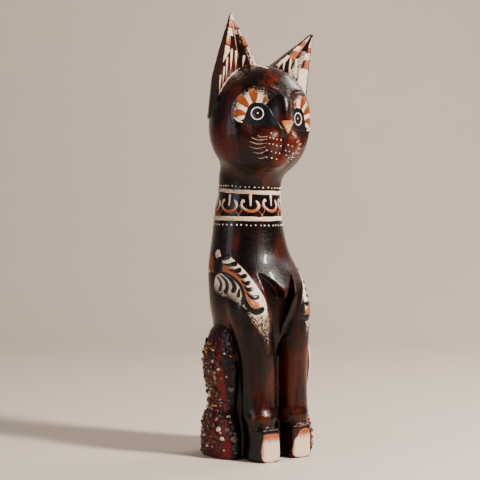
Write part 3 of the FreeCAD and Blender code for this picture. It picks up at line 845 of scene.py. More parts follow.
# Dots on the muzzle, seen from the front quarter: first across and height, step, how many
MUZZLE_ROWS = {
    "right": [(19.9, 292.4, 4.5, -0.4, 2), (18.7, 288.6, 3.3, -0.75, 4), (17.9, 283.1, 3.4, -0.85, 4),
              (16.0, 277.0, 3.9, -0.95, 4), (16.0, 270.5, 4.2, -0.75, 3)],
    "left": [(35.5, 281.6, 3.5, -1.0, 2), (33.3, 276.8, 3.2, -1.15, 3), (33.5, 272.5, 2.5, -2.0, 3),
             (43.4, 284.3, 1.0, -5.7, 2)],
}
MUZZLE_DOT = 0.62
WHISKERS = [
    ((6.9, 290.8), (11.0, 289.2), (17.0, 289.8)), ((1.7, 288.8), (7.8, 286.4), (16.2, 287.2)),
    ((0.0, 285.1), (6.9, 282.8), (15.5, 283.4)), ((-0.4, 280.2), (6.9, 278.7), (15.5, 280.3)),
    ((3.3, 275.0), (9.4, 274.3), (15.1, 276.4)), ((7.8, 270.1), (11.8, 269.7), (15.5, 271.7)),
]
WHISKER_WIDTHS = (0.35, 0.6, 0.45)
PAINTER_SLIP = 0.3              # a dot may miss its place by this much
NOSE_TOP = 304.5
NOSE_PALE_OVER = 9.0            # it goes from orange to pale over this height
NOSE = [(29.3, 303.6), (35.0, 304.2), (40.6, 303.4), (38.0, 297.6), (35.0, 292.2), (32.2, 297.6)]


def petal(turn, near, far, width):
    """Stations of a teardrop that points at the eye, bowed a little."""
    straight = math.radians(turn)
    bowed = straight - math.radians(PETAL_BOW)
    stations = ((near, straight, 0.45), (0.45 * (near + far), bowed, 0.8), (0.78 * far, bowed, 1.0),
                (far, straight, 0.75))
    return [(r * math.cos(a), r * math.sin(a), share * width) for r, a, share in stations]


def fan_cover(flat):
    """The fan is whole near the eye, and thin at its rim and where it starts beside the nose."""
    worn_from, worn_over = FAN_WORN
    start = FAN[2]
    reach = np.hypot(flat[:, 0], flat[:, 1])
    turn = np.degrees(np.arctan2(flat[:, 1], flat[:, 0]))
    inward = np.clip((turn - start) / FAN_STARTS_OVER, 0.0, 1.0)
    worn = np.clip(0.62 - (reach - worn_from - 1.5 * inward) / worn_over, 0.0, 1.0)
    return worn * np.where(turn < 0, 1.0, inward**0.4)


def eye(layers, side, dice):
    chart = eye_chart(side)
    inner, outer, start, end = FAN
    fan = np.concatenate((arc(outer, start, end, 9), arc(inner, end, start, 5)))
    layers["brow_fan"].film(chart, fan, 1.0, fan_cover, round_it=False)
    for turn, near, far, width in PETALS:
        rows = petal(turn + dice.uniform(-2, 2), near, far, width)
        cover = (1.0, 1.0, 0.8, 0.5)
        layers["brow_petals"].stroke(chart, rows, (0.0, 0.0, 0.15, 0.5), cover, rise=EYE_RISE["petal"])
    layers["brow_fan"].stroke(chart, LASH, (1.0,), (1.0, 0.9, 0.6))
    layers["eye_patch"].film(chart, PATCH, 0.0, rise=EYE_RISE["patch"])
    ring = [(x, y, RING_WIDTH) for x, y in arc(EYE_RING, 0, 330, 11)]
    layers["eye_ring"].stroke(chart, ring, (1.0,), rise=EYE_RISE["ring"], closed=True)
    pupil_radius, pupil_width = PUPIL
    pupil = [(x, y, pupil_width) for x, y in arc(pupil_radius, 100, 300, 6)]
    layers["eye_patch"].stroke(chart, pupil, (1.0, 0.5, 0.0), rise=EYE_RISE["pupil"])
    layers["eye_glint"].dot(chart, (0.3, 0.4), 1.0)


def face(layers, skin, side, dice):
    eye(layers, side, dice)
    cheek = face_chart(skin, side)
    for u, z, du, dz, count in MUZZLE_ROWS[side]:
        for k in range(count):
            across = u + k * du + dice.uniform(-PAINTER_SLIP, PAINTER_SLIP)
            height = z + k * dz + dice.uniform(-PAINTER_SLIP, PAINTER_SLIP)
            layers["muzzle_dots"].dot(quarter_chart, (across, height), MUZZLE_DOT * dice.uniform(0.85, 1.2))
    for whisker in WHISKERS:
        rows = [(*at, width) for at, width in zip(whisker, WHISKER_WIDTHS)]
        layers["whiskers"].stroke(cheek, rows, (0.85,), (0.6, 0.7, 0.5), rise=0.22, step=0.5)


def nose(skin):
    layer = Layer(skin)

    def tone(flat):
        return np.clip((NOSE_TOP - flat[:, 1]) / NOSE_PALE_OVER, 0.0, 1.0)
    layer.film(quarter_chart, NOSE, tone, rise=0.6, step=0.6)
    return layer


# ---------------------------------------------------------------- the ears

# Painted patches on the front of an ear: from and to across it (0 its inner edge, 1 its outer), from and
# to in height, tone at the bottom and top (0 orange, 1 cream), cover
EAR_PATCHES = {
    "right": [
        (0.0, 1.0, 389.5, 396.0, 0.7, 1.0, 1.0), (0.0, 1.0, 383.5, 390.0, 0.0, 0.5, 1.0),
        (0.32, 0.55, 384.0, 390.5, 0.8, 1.0, 0.75), (0.55, 1.0, 376.0, 383.3, 0.9, 1.0, 1.0),
        (0.22, 0.56, 377.5, 383.3, 1.0, 1.0, 0.5), (0.0, 0.24, 377.0, 383.3, 0.8, 1.0, 0.9),
        (0.74, 1.0, 367.6, 376.3, 0.0, 0.6, 1.0), (0.0, 0.2, 369.0, 377.0, 0.0, 0.3, 0.95),
        (0.2, 0.34, 370.0, 377.0, 0.0, 0.0, 0.45), (0.0, 0.13, 349.5, 369.0, 1.0, 1.0, 0.78),
        (0.11, 0.22, 350.0, 367.0, 1.0, 1.0, 0.42),
    ],
    "left": [
        (0.02, 0.5, 381.5, 388.5, 0.6, 1.0, 1.0), (0.02, 0.48, 376.5, 381.8, 0.0, 0.1, 1.0),
        (0.0, 0.42, 371.5, 376.8, 0.9, 1.0, 1.0), (0.1, 0.5, 363.8, 372.0, 0.0, 0.1, 1.0),
        (0.0, 0.22, 359.5, 367.0, 0.9, 1.0, 0.95), (0.0, 0.16, 355.0, 360.0, 0.2, 0.7, 0.9),
        (0.78, 1.0, 375.8, 388.5, 1.0, 1.0, 1.0), (0.82, 1.0, 371.5, 376.0, 0.0, 0.2, 1.0),
        (0.72, 1.0, 364.5, 371.8, 1.0, 1.0, 0.8), (0.84, 1.0, 356.5, 364.8, 0.0, 0.15, 1.0),
        (0.78, 1.0, 329.0, 357.0, 1.0, 1.0, 0.92), (0.54, 0.8, 347.0, 373.0, 1.0, 1.0, 0.46),
    ],
}
# Teardrops standing on the rim of the head: x outward, height of the head of the drop, width
EAR_DROPS = [(14.6, 358.5, 2.2), (21.3, 361.0, 2.4), (28.4, 364.5, 2.7), (34.2, 365.0, 2.7),
             (38.4, 357.0, 2.1), (41.6, 348.0, 1.9), (44.4, 340.0, 1.7)]
EAR_PAINT_FROM = 0.015          # paint keeps just inside an ear's edges, as shares of its width
EAR_PAINT_SPAN = 0.97
EAR_CREASE_ACROSS = 0.47
EAR_CREASE = (384.0, 375.0, 366.0, 357.0)       # heights along the hollow
# A cream stroke on the ear along the rim of the head is a painted highlight on the dome's edge
EAR_RIM_HIGHLIGHT = (34, 46, 58, 70)                      # degrees from the top of the head
# Light strip on the right ear's outer edge: how far across, height
EAR_STRIP = [(1.0, 367.4), (0.80, 367.0), (0.76, 363.0), (0.90, 356.5), (1.0, 349.5)]


def ear_point(side, across, z):
    """(x, height) of a point some share of the way across an ear, just inside its edges."""
    inner, outer = ear_edges(side, z)
    return inner + (EAR_PAINT_FROM + EAR_PAINT_SPAN * across) * (outer - inner), z


def ear_paint(layers, side, dice):
    chart = ear_chart(side)
    for a0, a1, low, high, tone_low, tone_high, cover in EAR_PATCHES[side]:
        tall = np.linspace(low, high, 4)
        wobble = [dice.uniform(-0.25, 0.25) for _ in range(8)]
        edge = [ear_point(side, a0, z) for z in tall] + [ear_point(side, a1, z) for z in tall[::-1]]
        edge = [(x, z + w) for (x, z), w in zip(edge, wobble)]

        def tone(flat):
            return np.interp(flat[:, 1], (low, high), (tone_low, tone_high))
        layers["ear_paint"].film(chart, edge, tone, cover, fade=1.2, round_it=False)
    if side == "right":
        strip = [ear_point(side, a, z) for a, z in EAR_STRIP]
        layers["ear_paint"].film(chart, strip, 1.0, 1.0, fade=1.0, round_it=False)
    crease = [(*ear_point(side, EAR_CREASE_ACROSS, z), 0.8) for z in EAR_CREASE]
    layers["ear_strokes"].stroke(chart, crease, (0.8, 0.4, 0.2), (0.8, 0.7, 0.4), rise=0.3)
    (_, _, skull_z), (skull_a, _, skull_c) = SKULL
    for x, top, width in EAR_DROPS:
        foot = skull_z + skull_c * math.sqrt(1.0 - min(x / (skull_a + 0.8), 0.99)**2) + 0.6
        lean = dice.uniform(-0.5, 0.5)
        rows = [(x, foot, 0.9), (x + 0.3 * lean, foot + 0.35 * (top - foot), 0.5 * width),
                (x + 0.7 * lean, foot + 0.75 * (top - foot), width), (x + lean, top, 0.8 * width)]
        tones = (0.1, 0.3, 0.9, 1.0, 1.0)
        layers["ear_strokes"].stroke(chart, rows, tones, (0.7, 1.0, 1.0, 1.0), rise=0.55)
    # Painted highlight: a cream stroke on the ear along the rim of the head
    rim = [((skull_a + 1.0) * math.sin(t), skull_z + (skull_c + 1.0) * math.cos(t), 0.9)
           for t in np.radians(EAR_RIM_HIGHLIGHT)]
    layers["ear_strokes"].stroke(chart, rim, (0.8, 0.6, 0.8), (0.8, 0.9, 0.8), rise=0.3)


# ---------------------------------------------------------------- shoulders and toes

LEFT_PLUME_DROP = 8.5           # the left plume sits this much lower
LEFT_PLUME_END = 10.5           # and stops here, across
# Outlines on the shoulder, as (across, height) seen from the front quarter; strokes have a width too
PLUME = [
    (-27, 176.5), (-18, 179.2), (-12, 174.5), (-3, 165.5), (6, 154), (13, 143.5), (16, 135), (17, 124),
    (18.5, 113), (17, 104), (11, 112), (4, 121), (0, 127), (-4.5, 139), (-8, 151), (-17, 160.5),
    (-24.5, 164.5), (-26, 170.5),
]
LEAVES = [
    (-31.5, 161), (-25.5, 164.5), (-15.5, 159.5), (-9, 153), (-4.5, 141), (-0.5, 130.5), (-5, 131.5),
    (-12, 136.5), (-19.5, 141), (-27, 144), (-32.5, 149.5),
]
SPRAY = [(-2, 128), (8, 127), (16, 132), (20, 117), (20, 104), (19, 92), (15, 90), (12, 103), (3, 117)]
SPINE = [
    (-24.5, 168.5, 4), (-16.5, 164.2, 4.6), (-9.5, 157, 4.4), (-4.6, 147, 4.2), (-0.8, 139, 5),
    (4.6, 133.6, 6),
]
PLUME_STROKES = [
    [(-28, 178, 6.5), (-28.5, 171.5, 11.1), (-30, 163.5, 9.1)],
    [(-24.5, 165.2, 1.8), (-17, 161.4, 2.9), (-8, 152.4, 3.6), (-4, 139.5, 4.4), (0.8, 131.2, 6.2),
     (6.4, 128.6, 7.8), (11, 131.2, 8.3), (11.6, 133.4, 6.5)],
    [(-29, 179, 1.7), (-24, 177.6, 4.9), (-20, 179, 6), (-17.6, 180.8, 3.9)],
    [(-24.5, 173, 0.9), (-19, 171.7, 3.9), (-13.4, 172.8, 6.2), (-11.2, 174.6, 4.7)],
    [(-19.5, 168, 0.9), (-14.4, 166, 3.9), (-9.6, 167, 6.2), (-7.6, 168.8, 4.7)],
    [(-12, 163.8, 0.9), (-8, 161, 3.9), (-4.2, 161.8, 6), (-2.4, 163.4, 4.4)],
    [(-7.8, 158, 0.9), (-4.6, 155, 3.9), (-1, 155.2, 5.7), (0.8, 157, 4.2)],
    [(-5.2, 153, 0.9), (-2.4, 149.3, 3.9), (1.4, 149.4, 5.7), (3, 151.2, 4.2)],
    [(-3.2, 147, 0.9), (1, 142.6, 4.2), (6.2, 142, 6.2), (8.4, 144, 5.2)],
    [(-30, 161.5, 1.1), (-26, 155, 2.9), (-27.4, 147.5, 3.4)],
    [(-27.5, 163, 1.1), (-21.5, 157, 3.1), (-20.4, 151, 4.2), (-22.6, 145.5, 4.7)],
    [(-25, 164, 1.1), (-16.5, 157.4, 3.4), (-13.6, 151, 5.2), (-15.8, 146, 6)],
    [(-9.2, 150, 2), (-10.4, 141.5, 5.2)],
    [(-6.6, 143, 2), (-6, 134.8, 4.4)],
]
PETALS_BEHIND = {"shoulder_plume": [[(-28, 178, 6), (-29, 182, 5), (-28.6, 186, 3.5)],
                                    [(-36.5, 179.5, 2.2), (-38.5, 173, 3), (-37, 165, 2.4)]],
                 "plume_spine": [[(-34.6, 181, 3.2), (-34.4, 173.5, 4), (-34, 165, 3.4)]]}
# Outlines on the front of a paw: x from its middle, outward, and height
TOES = {
    "right": [(-8.7, 2.4), (8.7, 2.4), (8.8, 22.5), (7.0, 25.6), (-7.0, 25.6), (-8.8, 21.5)],
    "left": [(-8.7, 2.4), (8.7, 2.4), (8.8, 24.4), (-1.0, 25.6), (-5.0, 20.0), (-8.8, 15.0)],
}
# The leaf on the left thigh: way round the haunch, height, width
LEAF = [(-25.0, 111.0, 2.0), (-21.5, 100.0, 8.0), (-21.0, 86.0, 9.0), (-23.0, 70.0, 4.0)]


def line_distance(flat, rows):
    """Distance of flat points from the middle of a stroke."""
    line = smooth_line(rows)[:, :2]
    return np.linalg.norm(flat[:, None] - line[None], axis=2).min(axis=1)


def plume(layers, side):
    """Cream feather with an orange spine, black commas and leaves, fading out down the leg."""
    chart = shoulder_chart(side)

    def outer_part(flat):
        """On the left the paint stops short of the front of the leg."""
        return np.clip((LEFT_PLUME_END - flat[:, 0]) / 3.0, 0.0, 1.0) if side == "left" else 1.0

    def ground_tone(flat):
        return np.clip((line_distance(flat, SPINE) - 3.2) / 3.0, 0.0, 1.0)

    def ground_cover(flat):
        return np.interp(flat[:, 1], (98, 112, 124, 131), (0.2, 0.34, 0.5, 1.0)) * outer_part(flat)

    def leaf_cover(flat):
        below = 165.0 - flat[:, 1] - 0.55 * (flat[:, 0] + 26.0)
        return np.clip(0.95 - (below - 6.0) / 24.0, 0.3, 0.8)

    def spray_cover(flat):
        return np.interp(flat[:, 1], (90, 104, 118, 128), (0.15, 0.3, 0.42, 0.6)) * outer_part(flat)
    ground = layers["shoulder_plume"]
    ground.film(chart, SPRAY, 1.0, spray_cover, fade=3.0, rise=0.16)
    ground.film(chart, LEAVES, 0.95, leaf_cover, fade=1.0, rise=0.2)
    ground.film(chart, PLUME, ground_tone, ground_cover, fade=1.3)
    layers["plume_spine"].stroke(chart, SPINE, (0.4, 0.25, 0.3, 0.3, 0.55), rise=0.36)
    for name, petals in PETALS_BEHIND.items():
        for rows in petals:
            layers[name].stroke(chart, rows, (0.55, 0.7) if name == "shoulder_plume" else (0.0, 0.15))
    for rows in PLUME_STROKES:
        layers["plume_strokes"].stroke(chart, rows, (0.0,), rise=0.5)


def toe_paint(layer, side):
    chart = paw_chart(side)

    def tone(flat):
        down = np.clip((25.5 - flat[:, 1]) / 9.0, 0.0, 1.0)
        inward = np.clip((9.0 - flat[:, 0] * (1 if side == "right" else -1)) / 2.0, 0.45, 1.0)
        return down**1.5 * inward
    layer.film(chart, TOES[side], tone, 1.0, fade=0.8, rise=0.35)


# ---------------------------------------------------------------- paste and chips

HAUNCH_ROUND = 20.0             # millimetres for each radian round a haunch
PASTE = 0.9                     # thickness of the coat, and the width of its thin edge
PASTE_STEP = 0.65
COAT_REACH = 1.1                # the coat runs on this far past the haunch's own section
LEFT_COAT_FOOT = 40.0           # below this the left coat runs forwards too; above it, only behind
LEFT_COAT_WAVE = (3.0, 11.0)    # how far its front edge waves, and over what height
PASTE_ACROSS = (-34.0, 32.0)
PASTE_HEIGHTS = (0.8, 122.0)
RIDGE = 6.0                     # width of the bright bare strip at the front of the right coat
CHIP_TRIES = 1300
CHIP_SIZES = (2.0, 2.6, 3.2, 4.0, 5.0, 6.2)
CHIPS_ACROSS = (-30.0, 30.0)
CHIPS_HEIGHTS = (4.5, 114.0)
CHIP_ROOM = 0.38                # two chips keep this share of their two sizes apart
CHIP_DEPTH = 0.9                # a chip reaches this far down into the coat
CHIP_SLOPE = 0.25               # its top tilts by up to this much
CHIP_KINDS = {"cream_chips": 0.16, "amber_chips": 0.12, "dark_chips": 0.72}


def roughness_of_paste(points):
    """Lumps in the paste, in millimetres: broad ones and fine ones."""
    return np.array([0.55 * noise.noise(Vector(p) * 0.35) + 0.3 * noise.noise(Vector(p) * 0.9)
                     for p in points])


def paste_mask(side, points):
    """Above 0 where the wood is coated."""
    on_haunch = COAT_REACH - column(points, side + "_haunch")
    if side == "left":
        swing, pitch = LEFT_COAT_WAVE
        behind = points[:, 1] + 1.0 + swing * np.sin(points[:, 2] / pitch)
        on_haunch = np.minimum(on_haunch, smooth_max(LEFT_COAT_FOOT - points[:, 2], behind, 14.0))
    return on_haunch


def haunch_paste(skin, side):
    """Lumpy coat over the haunch."""
    across = np.arange(*PASTE_ACROSS, PASTE_STEP)
    heights = np.arange(*PASTE_HEIGHTS, PASTE_STEP)
    wide, tall = len(across), len(heights)
    flat = np.stack(np.meshgrid(across, heights, indexing="ij"), axis=-1).reshape(-1, 2)
    points, outs = skin.meet(*haunch_chart(side)(flat))
    coated = paste_mask(side, points)
    rise = PASTE * np.clip(coated / PASTE, 0.0, 1.0) + roughness_of_paste(points) * np.clip(coated, 0.0, 1.0)
    top = points + outs * np.maximum(rise, -EDGE_SINK)[:, None]
    whole = (coated > 0).reshape(wide, tall)
    cell = whole[:-1, :-1] & whole[1:, :-1] & whole[1:, 1:] & whole[:-1, 1:]
    cell = without_corners(cell)
    i, j = np.nonzero(cell)
    faces = np.stack((i * tall + j, (i + 1) * tall + j, (i + 1) * tall + j + 1, i * tall + j + 1), axis=1)
    used, faces = np.unique(faces, return_inverse=True)
    faces = faces.reshape(-1, 4)
    layer = Layer(skin)
    faces = layer.outward(top[used], [tuple(f) for f in faces], outs[used])
    tone = np.clip((118.0 - flat[used, 1]) / 40.0, 0.15, 1.0)
    # Painted shade: forward of the right coat's front the tone falls to 0, the near-black deep red, for the
    # shaded recess by the foreleg. The RIDGE strip behind it keeps full tone, and the coat further back is
    # up to 45% darker.
    if side == "right":
        ahead = flat[used, 0] - coat_front_shade_edge(flat[used, 1])
        behind = 1.0 - 0.45 * np.clip((ahead - RIDGE) / 4.0, 0.0, 1.0)
        tone = tone * np.where(ahead < 0, np.clip(1.0 + ahead / 2.0, 0.0, 1.0), behind)
    layer.shell(top[used], points[used] - outs[used] * FILM_ROOT, faces, tone, 1.0)
    return layer


def without_corners(cell):
    """Drops cells that meet others only at a corner."""
    cell = cell.copy()
    for _ in range(8):
        a, b = cell[:-1, :-1], cell[1:, 1:]
        c, d = cell[1:, :-1], cell[:-1, 1:]
        falling = a & b & ~c & ~d
        rising = c & d & ~a & ~b
        if not (falling | rising).any():
            return cell
        cell[1:, 1:] &= ~falling
        cell[:-1, 1:] &= ~rising
    return cell


def chip(layer, place, out, size, dice):
    """A small angular stone: an uneven outline with a tilted, smaller top."""
    first = np.cross(out, (0.2, 0.1, 1.0))
    first /= np.linalg.norm(first)
    second = np.cross(out, first)
    corners = dice.choice((4, 5, 5, 6))
    start = dice.uniform(0, 2 * math.pi)
    stretch = dice.uniform(0.65, 1.0)
    outline = []
    for k in range(corners):
        turn = start + 2 * math.pi * (k + dice.uniform(-0.2, 0.2)) / corners
        reach = size / 2 * dice.uniform(0.8, 1.15)
        outline.append((reach * math.cos(turn), stretch * reach * math.sin(turn)))
    height = dice.uniform(0.35, 0.6) * size**0.6
    slope = (dice.uniform(-CHIP_SLOPE, CHIP_SLOPE), dice.uniform(-CHIP_SLOPE, CHIP_SLOPE))
    vertices = []
    for level, shrink in ((-CHIP_DEPTH, 0.9), (0.55 * height, 1.0), (height, 0.62)):
        for x, y in outline:
            lift = level + (slope[0] * x + slope[1] * y if level > 0 else 0.0)
            vertices.append(place + out * lift + (first * x + second * y) * shrink)
    n = corners
    faces = [tuple(reversed(range(n))), tuple(range(2 * n, 3 * n))]
    for row in (0, n):
        faces += [(row + k, row + (k + 1) % n, row + n + (k + 1) % n, row + n + k) for k in range(n)]
    layer.add(np.array(vertices), faces, dice.random(), 1.0)


def coat_front_shade_edge(z):
    """How far forwards the bright coat of the right haunch reaches; beyond it lies the shaded recess, and
    the paste there is painted near-black as painted shade.
    """
    return np.interp(z, (0, 47, 68, 89, 116), (-23.0, -18.0, -14.0, -12.0, -14.0))


def chips_wanted(side, across, z):
    """How thickly the chips lie, from 0 to 1."""
    if side == "left":
        return 0.35 if z < 44 or across > 12 else 0.9
    front = coat_front_shade_edge(z)
    if across < front:
        return 0.8 if z < 34 else 0.06
    if across < front + RIDGE or z > 104:
        return 0.1 if z < 92 else 0.03
    return 1.0


def chips(skin, side):
    layers = {kind: Layer(skin) for kind in CHIP_KINDS}
    dice = random.Random(SIDES[side] + 40)
    placed = []
    for _ in range(CHIP_TRIES):
        at = (dice.uniform(*CHIPS_ACROSS), dice.uniform(*CHIPS_HEIGHTS))
        size = dice.choice(CHIP_SIZES)
        if dice.random() > chips_wanted(side, *at):
            continue
        if any(math.dist(at, other) < CHIP_ROOM * (size + wide) for other, wide in placed):
            continue
        placed.append((at, size))
    points, outs = skin.meet(*haunch_chart(side)(np.array([at for at, _ in placed])))
    coated = paste_mask(side, points) > 0.5
    kinds = dice.choices(list(CHIP_KINDS), list(CHIP_KINDS.values()), k=len(placed))
    for point, out, (_, size), kind, here in zip(points, outs, placed, kinds, coated):
        if here:
            chip(layers[kind], point + out * PASTE, out, size, dice)
    return layers


# ---------------------------------------------------------------- materials

class Nodes:
    """Short calls for building one material's nodes."""

    def __init__(self, name):
        self.material = bpy.data.materials.new(name)
        self.material.use_nodes = True
        self.tree = self.material.node_tree
        self.shader = self.tree.nodes["Principled BSDF"]

    def add(self, kind, inputs=None, **settings):
        node = self.tree.nodes.new("ShaderNode" + kind)
        for key, value in settings.items():
            setattr(node, key, value)
        for key, value in (inputs or {}).items():
            self.put(node.inputs[key], value)
        return node

    def put(self, socket, value):
        if isinstance(value, bpy.types.NodeSocket):
            self.tree.links.new(value, socket)
        else:
            socket.default_value = value

    def finish(self, **values):
        """Sets the shader's own inputs; the names have underscores for spaces."""
        for key, value in values.items():
            self.put(self.shader.inputs[key.replace("_", " ")], value)
        return self.material

    def place(self, stretch=(1.0, 1.0, 1.0)):
        """Object coordinates in millimetres, stretched."""
        where = self.add("TexCoord").outputs["Object"]
        scale = tuple(s / MM for s in stretch)
        return self.add("Mapping", {"Vector": where, "Scale": scale}).outputs["Vector"]

    def noise(self, scale, stretch=(1.0, 1.0, 1.0), detail=4.0, rough=0.55, distortion=0.0):
        node = self.add("TexNoise", {"Vector": self.place(stretch), "Scale": scale, "Detail": detail,
                                     "Roughness": rough, "Distortion": distortion})
        return node.outputs["Fac"]

    def reading(self, name):
        """A number stored on the mesh."""
        return self.add("Attribute", attribute_name=name).outputs["Fac"]

    def ramp(self, value, low, high, to_low=0.0, to_high=1.0):
        node = self.add("MapRange", {"Value": value, "From Min": low, "From Max": high, "To Min": to_low,
                                     "To Max": to_high}, interpolation_type="SMOOTHSTEP")
        return node.outputs["Result"]

    def mix(self, factor, first, second, blend="MIX"):
        node = self.add("Mix", data_type="RGBA", blend_type=blend)
        self.put(node.inputs[0], factor)
        self.put(node.inputs[6], first)
        self.put(node.inputs[7], second)
        return node.outputs[2]

    def math(self, operation, first, second):
        node = self.add("Math", operation=operation)
        self.put(node.inputs[0], first)
        self.put(node.inputs[1], second)
        return node.outputs[0]

    def bump(self, height, strength, distance_mm):
        node = self.add("Bump", {"Height": height, "Strength": strength, "Distance": distance_mm * MM})
        self.put(self.shader.inputs["Normal"], node.outputs["Normal"])


def lacquered_wood_colour(nodes, redness=0.0):
    """Near-black brown with red-brown patches drawn out along the grain."""
    dark = (0.0020, 0.0008, 0.0008, 1)
    brown = (0.011, 0.0022, 0.0013, 1)
    red = (0.072, 0.0078, 0.0018, 1)
    broad = nodes.noise(0.028, (1.0, 1.0, 0.45), 3.0, 0.5, 0.6)
    streaks = nodes.noise(0.11, (1.0, 1.0, 0.12), 5.0, 0.6, 0.4)
    grain = nodes.noise(0.55, (1.0, 1.0, 0.07), 4.0, 0.6)
    colour = nodes.mix(nodes.ramp(streaks, 0.38, 0.62), dark, brown)
    warmth = nodes.math("ADD", broad, redness)
    patch = nodes.math("MULTIPLY", nodes.ramp(warmth, 0.50, 0.70), nodes.ramp(streaks, 0.34, 0.58))
    colour = nodes.mix(patch, colour, red)
    return nodes.mix(nodes.ramp(grain, 0.45, 0.75, 0.0, 0.4), colour, dark)


def lacquered_wood():
    """Thick uneven lacquer that breaks highlights up into flecks."""
    nodes = Nodes("lacquered_wood")
    redness = nodes.math("MULTIPLY", nodes.reading("red"), 0.16)
    colour = lacquered_wood_colour(nodes, redness)
    pores = nodes.noise(0.75, (1.0, 1.0, 0.45), 5.0, 0.7)
    nodes.bump(pores, 0.6, 0.5)
    return nodes.finish(Base_Color=colour, Roughness=nodes.ramp(pores, 0.3, 0.7, 0.14, 0.3),
                        Specular_IOR_Level=0.16, Coat_Weight=0.17, Coat_Roughness=0.05)


def brushed_paint(name, deep, light, rough):
    """Hand-brushed paint from its deep to its light tone, worn through to the wood where cover is low."""
    nodes = Nodes(name)
    tone = nodes.reading("tone")
    cover = nodes.reading("cover")
    strokes = nodes.noise(0.5, (1.0, 1.0, 0.5), 4.0, 0.6)
    fleck = nodes.noise(1.15, (1.0, 1.0, 0.7), 3.0, 0.6)
    mottled = nodes.math("ADD", tone, nodes.ramp(strokes, 0.3, 0.7, -0.14, 0.14))
    paint = nodes.mix(nodes.ramp(mottled, 0.0, 1.0), deep, light)
    shade = tuple(0.66 * c for c in light[:3]) + (1,)
    paint = nodes.mix(nodes.ramp(fleck, 0.52, 0.72, 0.0, 0.5), paint, shade, "MULTIPLY")
    shown = nodes.math("ADD", nodes.math("MULTIPLY", fleck, 5.0), nodes.math("MULTIPLY", cover, 2.4))
    shown = nodes.ramp(shown, 3.55, 3.85)
    colour = nodes.mix(shown, lacquered_wood_colour(nodes), paint)
    nodes.bump(strokes, 0.4, 0.3)
    return nodes.finish(Base_Color=colour, Roughness=nodes.ramp(shown, 0.0, 1.0, 0.3, rough),
                        Specular_IOR_Level=0.35)


def red_paste():
    """Deep glossy red, darker and browner towards the top of the haunch."""
    nodes = Nodes("red_paste")
    # deep is also the painted shade on the paste forward of the right coat's front, where tone is 0
    deep = (0.010, 0.0016, 0.0018, 1)
    bright = (0.17, 0.0012, 0.0012, 1)
    blotch = nodes.noise(0.12, (1.0, 1.0, 0.6), 4.0, 0.6)
    fine = nodes.noise(0.9, detail=3.0)
    tone = nodes.math("MULTIPLY", nodes.reading("tone"), nodes.ramp(blotch, 0.3, 0.62, 0.35, 1.0))
    colour = nodes.mix(tone, deep, bright)
    colour = nodes.mix(nodes.ramp(fine, 0.5, 0.75, 0.0, 0.5), colour, deep)
    nodes.bump(fine, 0.5, 0.4)
    return nodes.finish(Base_Color=colour, Roughness=nodes.ramp(fine, 0.3, 0.7, 0.2, 0.45),
                        Specular_IOR_Level=0.16, Coat_Weight=0.12, Coat_Roughness=0.1)


def stone(name, colours, rough, **finish):
    """Chips whose colour changes from one to the next, with cloudy veins."""
    nodes = Nodes(name)
    ramp = nodes.add("ValToRGB", {"Fac": nodes.reading("tone")})
    ramp.color_ramp.interpolation = "CONSTANT"
    for k, colour in enumerate(colours):
        point = ramp.color_ramp.elements[k] if k < 2 else ramp.color_ramp.elements.new(k / len(colours))
        point.position = k / len(colours)
        point.color = colour
    cloud = nodes.noise(0.8, detail=4.0, distortion=0.8)
    shade = (0.35, 0.30, 0.27, 1)
    colour = nodes.mix(nodes.ramp(cloud, 0.45, 0.7, 0.0, 0.6), ramp.outputs["Color"], shade, "MULTIPLY")
    nodes.bump(cloud, 0.3, 0.2)
    roughness = nodes.ramp(cloud, 0.3, 0.7, 0.6 * rough, rough)
    return nodes.finish(Base_Color=colour, Roughness=roughness, **finish)


CREAM_STONES = [(0.62, 0.52, 0.40, 1), (0.45, 0.36, 0.30, 1), (0.72, 0.66, 0.58, 1), (0.30, 0.20, 0.15, 1)]
AMBER_STONES = [(0.70, 0.33, 0.02, 1), (0.42, 0.13, 0.012, 1), (0.30, 0.09, 0.02, 1)]
DARK_STONES = [
    (0.020, 0.020, 0.018, 1), (0.075, 0.068, 0.050, 1), (0.030, 0.042, 0.038, 1), (0.085, 0.040, 0.020, 1),
    (0.012, 0.011, 0.012, 1),
]


# Deep tone, light tone, roughness
PAINTS = {
    "cream_paint": ((0.30, 0.062, 0.004, 1), (0.76, 0.58, 0.43, 1), 0.5),
    "white_paint": ((0.55, 0.40, 0.28, 1), (0.84, 0.74, 0.63, 1), 0.35),
    "orange_paint": ((0.18, 0.032, 0.0018, 1), (0.52, 0.19, 0.045, 1), 0.38),
    "black_paint": ((0.0030, 0.0030, 0.0036, 1), (0.030, 0.014, 0.009, 1), 0.3),
    "peach_paint": ((0.36, 0.080, 0.010, 1), (0.72, 0.35, 0.13, 1), 0.45),
}


def make_materials():
    materials = {name: brushed_paint(name, *look) for name, look in PAINTS.items()}
    materials["red_paste"] = red_paste()
    materials["cream_chips"] = stone("cream_chips", CREAM_STONES, 0.4)
    materials["amber_chips"] = stone("amber_chips", AMBER_STONES, 0.2, Specular_IOR_Level=0.6)
    materials["dark_chips"] = stone("dark_chips", DARK_STONES, 0.22)
    return materials


# ---------------------------------------------------------------- the pieces

# Where the lacquer is redder: middle, reach
RED_PLACES = [
    ((-6, -35, 340), 11), ((-14, -40, 283), 13), ((14, -40, 283), 13), ((0, -34, 266), 13),
    ((-2, -45, 300), 9), ((-12, -40, 70), 22), ((-18, -42, 42), 12), ((18, -38, 85), 18),
    ((-40, -5, 285), 15), ((6, -20, 251), 14), ((6, -28, 158), 10),
]


def redness(vertices):
    value = np.zeros(len(vertices))
    for middle, reach in RED_PLACES:
        away = np.linalg.norm(vertices - np.array(middle), axis=1) / reach
        value = np.maximum(value, np.clip(1.4 - away, 0.0, 1.0))
    return value


